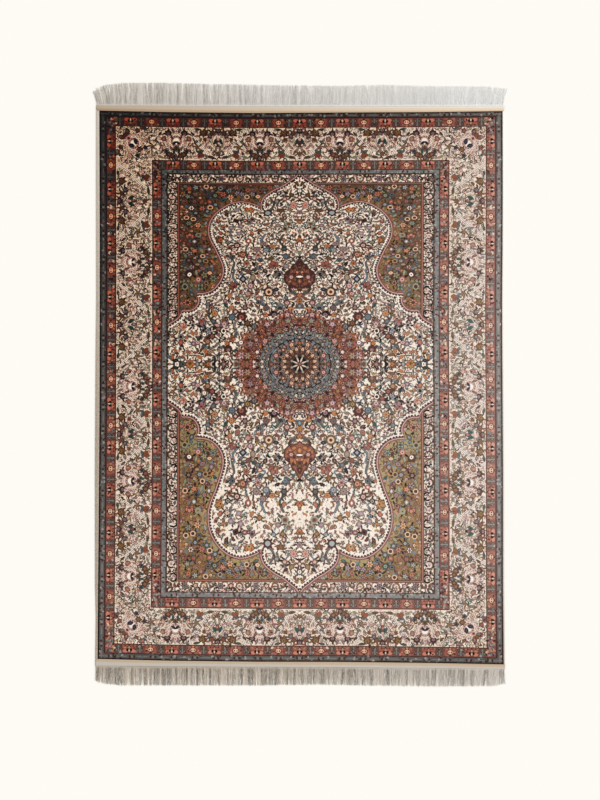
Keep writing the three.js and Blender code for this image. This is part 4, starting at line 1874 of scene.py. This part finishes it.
def painted(colour, light=LIGHT):
    """An eight-bit colour as a shader's linear one, less the strength of the light that falls on it."""
    parts = []
    for part in colour:
        share = part / 255
        level = share / 12.92 if share <= 0.04045 else ((share + 0.055) / 1.055) ** 2.4
        parts.append(min(1.0, level / light))
    return (*parts, 1.0)


def ramp(tree, share, stops, kind="LINEAR"):
    """Colours along a share from 0 to 1; the first stop is at 0."""
    made = node(tree, "ValToRGB", {0: share})
    made.color_ramp.interpolation = kind
    elements = made.color_ramp.elements
    elements.remove(elements[1])
    for number, (position, colour) in enumerate(stops):
        stop = elements.new(position) if number else elements[0]
        stop.color = painted(colour)
    return made.outputs[0]


def object_place(tree):
    """The place on the object, and how far it is across and along."""
    place = node(tree, "TexCoord").outputs["Object"]
    parts = node(tree, "SeparateXYZ", {0: place})
    return place, parts.outputs[0], parts.outputs[1]


def ribs(tree, place, way, pitch, **inputs):
    """Fine ribs at a pitch in metres, one after another along X or Y."""
    inputs.update(Scale=math.tau / 20 / pitch, Vector=place)
    wave = node(tree, "TexWave", inputs, wave_type="BANDS", bands_direction=way, wave_profile="SIN")
    return wave.outputs["Fac"]


def roughen(tree, shader, height, strength, distance):
    bump = node(tree, "Bump", {"Strength": strength, "Distance": distance, "Height": height})
    feed(tree, bump.outputs[0], shader.inputs["Normal"])


def surface(tree, across, along, table):
    """A smooth value over the cloth: the sum of a table's powers of the two places."""
    total = 0.0
    for row in table:
        part = row.weight
        for place, power in ((across, row.across_power), (along, row.along_power)):
            for _ in range(int(power)):
                part = maths(tree, "MULTIPLY", place, part)
        total = maths(tree, "ADD", part, total)
    return total


def knot_colour(tree):
    """The colour of each knot, read off the number that its row of four holds."""
    uv = node(tree, "UVMap", uv_map="knot")
    parts = node(tree, "SeparateXYZ", {0: uv.outputs[0]})
    column = maths(tree, "FLOOR", maths(tree, "MULTIPLY", parts.outputs[0], QUAD_COLUMNS - 0.001))
    row = maths(tree, "FLOOR", maths(tree, "MULTIPLY", parts.outputs[1], QUAD_ROWS - 0.001))
    numbers = []
    for name, first in KNOT_NUMBERS:
        held = node(tree, "Attribute", attribute_name=name)
        same = {part: maths(tree, "COMPARE", row, first + part, 0.25) for part in range(3)}
        mask = node(tree, "CombineXYZ", same)
        both = {0: held.outputs["Vector"], 1: mask.outputs[0]}
        numbers.append(node(tree, "VectorMath", both, operation="DOT_PRODUCT").outputs["Value"])
    number = maths(tree, "ADD", *numbers)
    scale = maths(tree, "POWER", DIGIT, column)
    whole = maths(tree, "FLOOR", maths(tree, "DIVIDE", maths(tree, "ADD", number, 0.5), scale))
    silk = maths(tree, "MODULO", whole, DIGIT)
    share = maths(tree, "DIVIDE", maths(tree, "ADD", silk, 0.5), DIGIT)
    stops = [(place / DIGIT, SILKS[name]) for place, name in enumerate(SILK_NAMES)]
    return ramp(tree, share, stops, "CONSTANT")


# The pile, with painted shade darker upper left and a painted sheen paler lower right, as the light lies
# along its nap's lean; the sheen and shade as powers of the place in metres

KNOT_SIZE = 0.00115
DYE_STRETCH = (0.15, 3.0, 1.0)

SHEEN_SHADE_GAMMA = read_table("""
part     across_power along_power weight
middle   0            0           0.818
leftward 1            0           -0.406
headward 0            1           0.274
sides    2            0           0.321
corner   1            1           -0.362
ends     0            2           0.209
waist    2            1           -0.055
tips     0            6           0.06
edges    6            0           -0.969
rims     0            14          0.25
""")


def pile_finish():
    made, tree, shader = finish("silk_pile", 0.62, 0.12)
    place, across, along = object_place(tree)
    cell = node(tree, "VectorMath", {0: place, 1: (KNOT_SIZE, KNOT_SIZE, 1.0)}, operation="SNAP")
    speck = node(tree, "TexWhiteNoise", {0: cell.outputs[0]}, noise_dimensions="3D")
    streak = node(tree, "VectorMath", {0: place, 1: DYE_STRETCH}, operation="MULTIPLY")
    dye = node(tree, "TexNoise", {"Scale": 9.0, "Vector": streak.outputs[0]}, noise_dimensions="3D")
    speckled = maths(tree, "MULTIPLY_ADD", speck.outputs["Value"], 0.16, 0.90)
    dyed = maths(tree, "MULTIPLY_ADD", dye.outputs[0], 0.16, 0.92)
    value = maths(tree, "MULTIPLY", speckled, dyed)
    grey = node(tree, "CombineColor", {0: value, 1: value, 2: value})
    toned = mixed(tree, "MULTIPLY", 1.0, knot_colour(tree), grey.outputs[0])
    # Painted sheen and shade: a gamma over the knots' colours, below one and paler to the lower right, above
    # one and darker to the upper left
    sheen_shade = node(tree, "Gamma", {0: toned, 1: surface(tree, across, along, SHEEN_SHADE_GAMMA)})
    feed(tree, sheen_shade.outputs[0], shader.inputs["Base Color"])
    rows = ribs(tree, place, "Y", KNOT_SIZE, Distortion=0.6, Detail=1.0)
    nap = node(tree, "TexNoise", {"Scale": 700.0, "Detail": 2.0, "Vector": place}, noise_dimensions="3D")
    height = maths(tree, "ADD", rows, maths(tree, "MULTIPLY", nap.outputs[0], 1.2))
    roughen(tree, shader, height, 0.35, 0.0004)
    return made


# The flat weave: rows of cream, peach and tan, from the pile outwards

WEAVE_SILKS = (
    (0.0, (226, 200, 170)), (0.30, (250, 228, 200)), (0.55, (246, 224, 196)), (0.72, (250, 244, 234)),
    (1.0, (250, 244, 234)),
)
WEFT_PITCH = 0.0014
WARP_PITCH = 0.0012


def weave_finish():
    made, tree, shader = finish("flat_weave", 0.75, 0.15)
    place, across, along = object_place(tree)
    woven = node(tree, "Attribute", attribute_name="woven").outputs["Fac"]
    # This shift is in part painted light: at the head the rows read paler towards the lit right; at the foot
    # the same term makes them paler towards the left
    row_shift_and_light = maths(tree, "MULTIPLY_ADD", across, 0.2, -0.15)
    rows = ramp(tree, maths(tree, "MULTIPLY_ADD", along, row_shift_and_light, woven), WEAVE_SILKS)
    # Painted shade and light: the weave is multiplied by a grey that is darker towards the left and at the
    # foot, and white towards the right at the head, as the light falls
    reach = maths(tree, "MULTIPLY_ADD", along, 0.30, 0.40)
    base = maths(tree, "MULTIPLY_ADD", along, 0.16, 0.40)
    lit_share = maths(tree, "MULTIPLY_ADD", across, reach, base, clamp=True)
    painted_shade = mixed(tree, "MIX", lit_share, painted((196, 190, 184), 1.0), painted((255, 255, 255), 1.0))
    feed(tree, mixed(tree, "MULTIPLY", 1.0, rows, painted_shade), shader.inputs["Base Color"])
    weft = ribs(tree, place, "Y", WEFT_PITCH, Distortion=0.4)
    warp = ribs(tree, place, "X", WARP_PITCH)
    roughen(tree, shader, maths(tree, "ADD", weft, maths(tree, "MULTIPLY", warp, 0.5)), 0.6, 0.0005)
    return made


# The back: the front's bands by their distance from the edge in metres, seen through mixed silks

BACK_BANDS = read_table("""
from_edge red green blue
0.0       40  36    36
0.0062    112 110   104
0.0235    140 72    58
0.0566    206 182   158
0.184     140 72    58
0.2156    112 110   104
0.2356    206 182   158
0.2725    172 146   120
""")
BACK_MOTTLE = (
    (0.0, (206, 186, 160)), (0.45, (132, 84, 62)), (0.62, (92, 92, 86)), (0.76, (150, 70, 56)),
    (0.88, (60, 44, 38)),
)
BACK_REACH = 0.30
BACK_SIDE = 0.697
BACK_HEAD = 0.943
BACK_FOOT = 0.961


def back_finish():
    made, tree, shader = finish("knotted_back", 0.8, 0.15)
    place, across, along = object_place(tree)
    from_side = maths(tree, "SUBTRACT", BACK_SIDE, maths(tree, "ABSOLUTE", across))
    from_head = maths(tree, "SUBTRACT", BACK_HEAD, along)
    from_foot = maths(tree, "ADD", along, BACK_FOOT)
    nearest = maths(tree, "MINIMUM", from_side, maths(tree, "MINIMUM", from_head, from_foot))
    share = maths(tree, "DIVIDE", nearest, BACK_REACH, clamp=True)
    stops = [(row.from_edge / BACK_REACH, (row.red, row.green, row.blue)) for row in BACK_BANDS]
    bands = ramp(tree, share, stops, "CONSTANT")
    blots = node(tree, "TexVoronoi", {"Scale": 95.0, "Vector": place}, feature="F1")
    parts = node(tree, "SeparateColor", {0: blots.outputs["Color"]})
    mottle = ramp(tree, parts.outputs[0], BACK_MOTTLE, "CONSTANT")
    shown = maths(tree, "MULTIPLY", maths(tree, "GREATER_THAN", parts.outputs[1], 0.4), 0.7)
    feed(tree, mixed(tree, "MIX", shown, bands, mottle), shader.inputs["Base Color"])
    roughen(tree, shader, ribs(tree, place, "Y", KNOT_SIZE), 0.5, 0.0004)
    return made


# Undyed silk of the threads and cords, with painted shade and painted light

# Colours of the painted shade in the threads' gaps: nearly black on the left, away from the light, nearly
# white on the right
SHADE_LEFT = (0.15, 0.13, 0.105, 1)
SHADE_RIGHT = (0.94, 0.93, 0.92, 1)


def thread_finish(name, dark, pale, by_thread):
    """Undyed silk with painted shade deep in the bundle, darker towards the left, and painted light paler
    towards the right.
    """
    made, tree, shader = finish(name, 0.6, 0.2)
    place, across, along = object_place(tree)
    # Painted light: the silk runs from its dark colour on the left to its pale one towards the lit right and
    # the head
    base = maths(tree, "MULTIPLY_ADD", along, 0.34, 0.36)
    lit_share = maths(tree, "MULTIPLY_ADD", across, 0.50, base, clamp=True)
    lit_tint = mixed(tree, "MIX", lit_share, painted(dark), painted(pale))
    # Painted shade deep in the bundle: by each thread's shade level, or as noise on knots and cords
    if by_thread:
        depth = node(tree, "Attribute", attribute_name="tone").outputs["Fac"]
    else:
        depth = node(tree, "TexNoise", {"Scale": 260.0, "Vector": place}, noise_dimensions="3D").outputs[0]
    shaded = mixed(tree, "MIX", lit_share, SHADE_LEFT, SHADE_RIGHT)
    painted_shade = mixed(tree, "MIX", depth, shaded, (1.0, 1.0, 1.0, 1))
    feed(tree, mixed(tree, "MULTIPLY", 1.0, lit_tint, painted_shade), shader.inputs["Base Color"])
    return made


# Fringes: sizes in millimetres, with pairs for the least and the most

LOCK_PITCH = 7.0
LOCK_THREADS = 12
LOCK_GATHER = (0.35, 0.8)
LOCK_DRIFT = (-3.2, 3.2)
# Painted shade of the threads, as a level from 0, deepest, to 1, none: by lock, by thread and lower in the
# bundle
LOCK_SHADE = (0.26, 1.04)
FRINGE_INSET = 1.5
ROOT_STEP = 0.6
# Painted shade level of every thread near the row of knots
ROOT_SHADE = 0.82
ROOT_HEAD = 0.004
ROOT_FOOT = 0.012
THREAD_STEPS = 6
THREAD_RADIUS = 0.36
THREAD_LEVEL = (0.35, 1.7)
THREAD_SHORTER = 3.4
THREAD_SPREAD = (0.7, 1.9)
THREAD_STRAY = 1.0
THREAD_CURL = 1.9
THREAD_BENDS = (1.5, 3.2)
# Painted shade by thread, and more of it for threads lower in the bundle
THREAD_SHADE = 0.30
LEVEL_SHADE = 0.45


def thread_curve(name, lines):
    """One piece of many fine threads, each a line of points with its own thickness."""
    start()
    curve = bpy.data.curves.new(name, "CURVE")
    curve.dimensions = "3D"
    curve.bevel_depth = 1.0
    curve.bevel_resolution = 0
    curve.use_fill_caps = True
    for points, thickness in lines:
        spline = curve.splines.new("POLY")
        spline.points.add(len(points) - 1)
        flat = np.ones((len(points), 4), dtype=np.float32)
        flat[:, :3] = points
        spline.points.foreach_set("co", flat.ravel())
        spline.points.foreach_set("radius", np.asarray(thickness, dtype=np.float32))
    piece = bpy.data.objects.new(name, curve)
    bpy.context.collection.objects.link(piece)
    bpy.context.view_layer.objects.active = piece
    piece.select_set(True)
    bpy.ops.object.convert(target="MESH")
    return bpy.context.object


def thread_path(root, tip, middle, level, gather, curl, bends, phase):
    """A thread's points and thickness, drawn in towards the middle of its lock, thinner to its tip."""
    points = []
    thickness = []
    for step in range(THREAD_STEPS + 1):
        share = step / THREAD_STEPS
        pull = math.sin(math.pi * min(1.0, share * 1.6)) * gather
        x = root[0] + (tip[0] - root[0]) * share ** 1.4
        x += (middle + (tip[0] - middle) * share - x) * pull * 0.55
        x += curl * math.sin(share * bends * math.tau / 2 + phase) * share ** 0.5
        y = root[1] + (tip[1] - root[1]) * share
        z = max(THREAD_RADIUS, level * (1 - 0.55 * share) + 0.5 * (1 - share))
        points.append((x * MM + SHIFT[0], y * MM + SHIFT[1], z * MM))
        thickness.append(THREAD_RADIUS * (1.15 - 0.55 * share) * MM)
    return points, thickness


def between_cords(outward, inset):
    """Where an end of the carpet starts and ends across, in from the side cords."""
    end = outward * WEAVE_END
    return float(side_place(end, "left_cord")) + inset, float(side_place(end, "right_cord")) - inset


def make_fringe(name, weave_column, table, seed):
    """Threads gathered in locks; each has a painted shade level, and all have the same one near the row of
    knots.
    """
    draw = random.Random(seed)
    outward = 1 if table[0].tip > 0 else -1
    left, right = between_cords(outward, FRINGE_INSET)
    locks = int((right - left) / LOCK_PITCH)
    lines = []
    shade_levels = []
    for lock in range(locks):
        middle = left + (right - left) * (lock + 0.5) / locks
        lean = float(read(table, "across", middle, "lean"))
        end = float(read(table, "across", middle, "tip"))
        gather = draw.uniform(*LOCK_GATHER)
        drift = draw.uniform(*LOCK_DRIFT)
        lock_shade = draw.uniform(*LOCK_SHADE)
        for thread in range(LOCK_THREADS):
            spot = (thread + 0.5) / LOCK_THREADS - 0.5
            root_x = middle + spot * LOCK_PITCH
            root = (root_x, float(end_place(root_x, weave_column)) + outward * ROOT_STEP)
            level = draw.uniform(*THREAD_LEVEL)
            tip_y = end - outward * abs(draw.gauss(0, THREAD_SHORTER))
            spread = draw.uniform(*THREAD_SPREAD)
            tip_x = middle + spot * LOCK_PITCH * spread + lean + drift + draw.gauss(0, THREAD_STRAY)
            curl = draw.gauss(0, THREAD_CURL)
            bends = draw.uniform(*THREAD_BENDS)
            phase = draw.uniform(0, math.tau)
            lines.append(thread_path(root, (tip_x, tip_y), middle, level, gather, curl, bends, phase))
            # Painted shade: by lock, at random by thread, and deeper for lower threads
            tone = lock_shade + draw.gauss(0, THREAD_SHADE) + (level - 1.0) * LEVEL_SHADE
            shade_levels.append(min(1.0, max(0.0, tone)))
    piece = thread_curve(name, lines)
    held = np.repeat(shade_levels, len(piece.data.vertices) // len(lines))
    from_knots = np.abs(points_of(piece)[:, 1]) - abs(float(end_place(0.0, weave_column)) * MM)
    root = from_knots < (ROOT_HEAD if outward > 0 else ROOT_FOOT)
    point_attribute(piece, "tone", np.where(root, ROOT_SHADE, held))
    return piece


# The rows of knots that hold the fringes

STRIP_WIDTH = 6.2
STRIP_HEIGHT = 2.4
STRIP_EDGE_HEIGHT = 0.5
STRIP_SHARE = 0.72
STRIP_STEP = 0.3
STRIP_INSET = 1
STRIP_ROWS = 6
KNOT_BEADS = 420
BEAD_COLUMNS = 4


def make_knot_line(name, weave_column, outward):
    """Small crowned beads side by side."""
    left, right = between_cords(outward, STRIP_INSET)
    columns = KNOT_BEADS * BEAD_COLUMNS
    piece, column, row = grid(name, columns, STRIP_ROWS)
    x = left + (right - left) * column / columns
    out = row / STRIP_ROWS
    if outward < 0:
        out = 1 - out
    y = end_place(x, weave_column) + outward * (STRIP_STEP + out * STRIP_WIDTH * STRIP_SHARE)
    bead = np.abs(np.sin(column / BEAD_COLUMNS * math.pi))
    crown = np.sin(np.pi * np.clip(out, 0.02, 0.98)) ** 0.6
    z = STRIP_EDGE_HEIGHT + (STRIP_HEIGHT - STRIP_EDGE_HEIGHT) * crown * (0.72 + 0.28 * bead)
    put_points(piece, to_frame(x, y, z))
    close_below(piece)
    return piece


# Side cords

CORD_HEIGHT = 3.8
CORD_GAP = 0.3
CORD_COLUMNS = 10
CORD_ROWS = 1500
CORD_TWIST = 0.7
CORD_WRAP = 2.6


def make_cord(name, side):
    """A crowned cord along a side, with its winding strand as fine slanting ridges."""
    away = -1 if side == "left" else 1
    piece, column, row = grid(name, CORD_COLUMNS, CORD_ROWS)
    foot = float(end_place(away * HALF_PILE, "foot_pile")) + CORD_GAP
    head = float(end_place(away * HALF_PILE, "head_pile")) - CORD_GAP
    y = foot + (head - foot) * row / CORD_ROWS
    inner = side_place(y, side + "_pile") + away * CORD_GAP
    outer = side_place(y, side + "_cord")
    low = np.minimum(inner, outer)
    share = column / CORD_COLUMNS
    x = low + (np.maximum(inner, outer) - low) * share
    crown = np.sin(np.pi * np.clip(share, 0.04, 0.96)) ** 0.55
    wrap = np.abs(np.sin((y + CORD_TWIST * (x - low)) / CORD_WRAP * math.pi))
    put_points(piece, to_frame(x, y, CORD_HEIGHT * (0.35 + 0.65 * crown) * (0.90 + 0.10 * wrap)))
    close_below(piece)
    return piece


def dress(piece, material, slot, *nodes):
    """Gives a piece its finish, hangs it on the root body and hides the solids that it stands for; slot is
    not used.
    """
    if material:
        piece.data.materials.clear()
        piece.data.materials.append(material)
    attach(piece, "root")
    if nodes:
        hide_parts(*nodes)


# Camera, floor and light

VIEW_TALL = 2.760
LENS = 85.0
SENSOR = 36.0
VIEW_MIDDLE = (-0.00033, -0.0533)
FLOOR_SIZE = 14
FLOOR_LEVEL = -0.0004
SKY_STRENGTH = 0.78
WINDOW_STRENGTH = 1.55
WINDOW_WIDTH = 25
WINDOW_TURN = (0, 48, -12)


def make_camera():
    camera = bpy.data.objects.new("camera", bpy.data.cameras.new("camera"))
    bpy.context.collection.objects.link(camera)
    camera.data.lens = LENS
    camera.data.sensor_width = SENSOR
    camera.data.clip_end = 100
    camera.location = (*VIEW_MIDDLE, VIEW_TALL * LENS / SENSOR)
    bpy.context.scene.camera = camera


def make_floor():
    start()
    bpy.ops.mesh.primitive_plane_add(size=FLOOR_SIZE, location=(0, 0, FLOOR_LEVEL))
    floor = named("floor")
    made, _, shader = finish("pale_floor", 0.9, 0.0)
    shader.inputs["Base Color"].default_value = painted((255, 252, 245))
    floor.data.materials.append(made)


def make_light():
    world = bpy.data.worlds.new("studio")
    bpy.context.scene.world = world
    world.use_nodes = True
    background = world.node_tree.nodes["Background"]
    background.inputs[0].default_value = (1, 1, 1, 1)
    background.inputs[1].default_value = SKY_STRENGTH
    window = bpy.data.objects.new("window", bpy.data.lights.new("window", "SUN"))
    bpy.context.collection.objects.link(window)
    window.data.energy = WINDOW_STRENGTH
    window.data.angle = math.radians(WINDOW_WIDTH)
    window.rotation_euler = [math.radians(degrees) for degrees in WINDOW_TURN]


bpy.context.scene.view_settings.view_transform = "Standard"
make_camera()
make_floor()
make_light()

cloth = make_cloth(draw_half())
dress(cloth, None, "pile", "carpet_body")

# Each thread finish runs from painted shade in its first colour on the left to painted light in its second
# on the right
thread = thread_finish("fringe_silk", (226, 212, 194), (255, 255, 254), True)
knots = thread_finish("knotted_silk", (232, 224, 212), (255, 254, 250), False)
cord_silk = thread_finish("overcast_cord", (226, 210, 190), (255, 248, 240), False)

fringe_head = make_fringe("fringe_head_threads", "head_weave", HEAD_FRINGE, 3)
fringe_foot = make_fringe("fringe_foot_threads", "foot_weave", FOOT_FRINGE, 8)
dress(fringe_head, thread, "warp", "fringe_head")
dress(fringe_foot, thread, "warp", "fringe_foot")
knots_head = make_knot_line("knot_line_head", "head_weave", 1)
knots_foot = make_knot_line("knot_line_foot", "foot_weave", -1)
dress(knots_head, knots, "warp")
dress(knots_foot, knots, "warp")
cord_left = make_cord("cord_left", "left")
cord_right = make_cord("cord_right", "right")
dress(cord_left, cord_silk, "binding", "selvedge_left")
dress(cord_right, cord_silk, "binding", "selvedge_right")
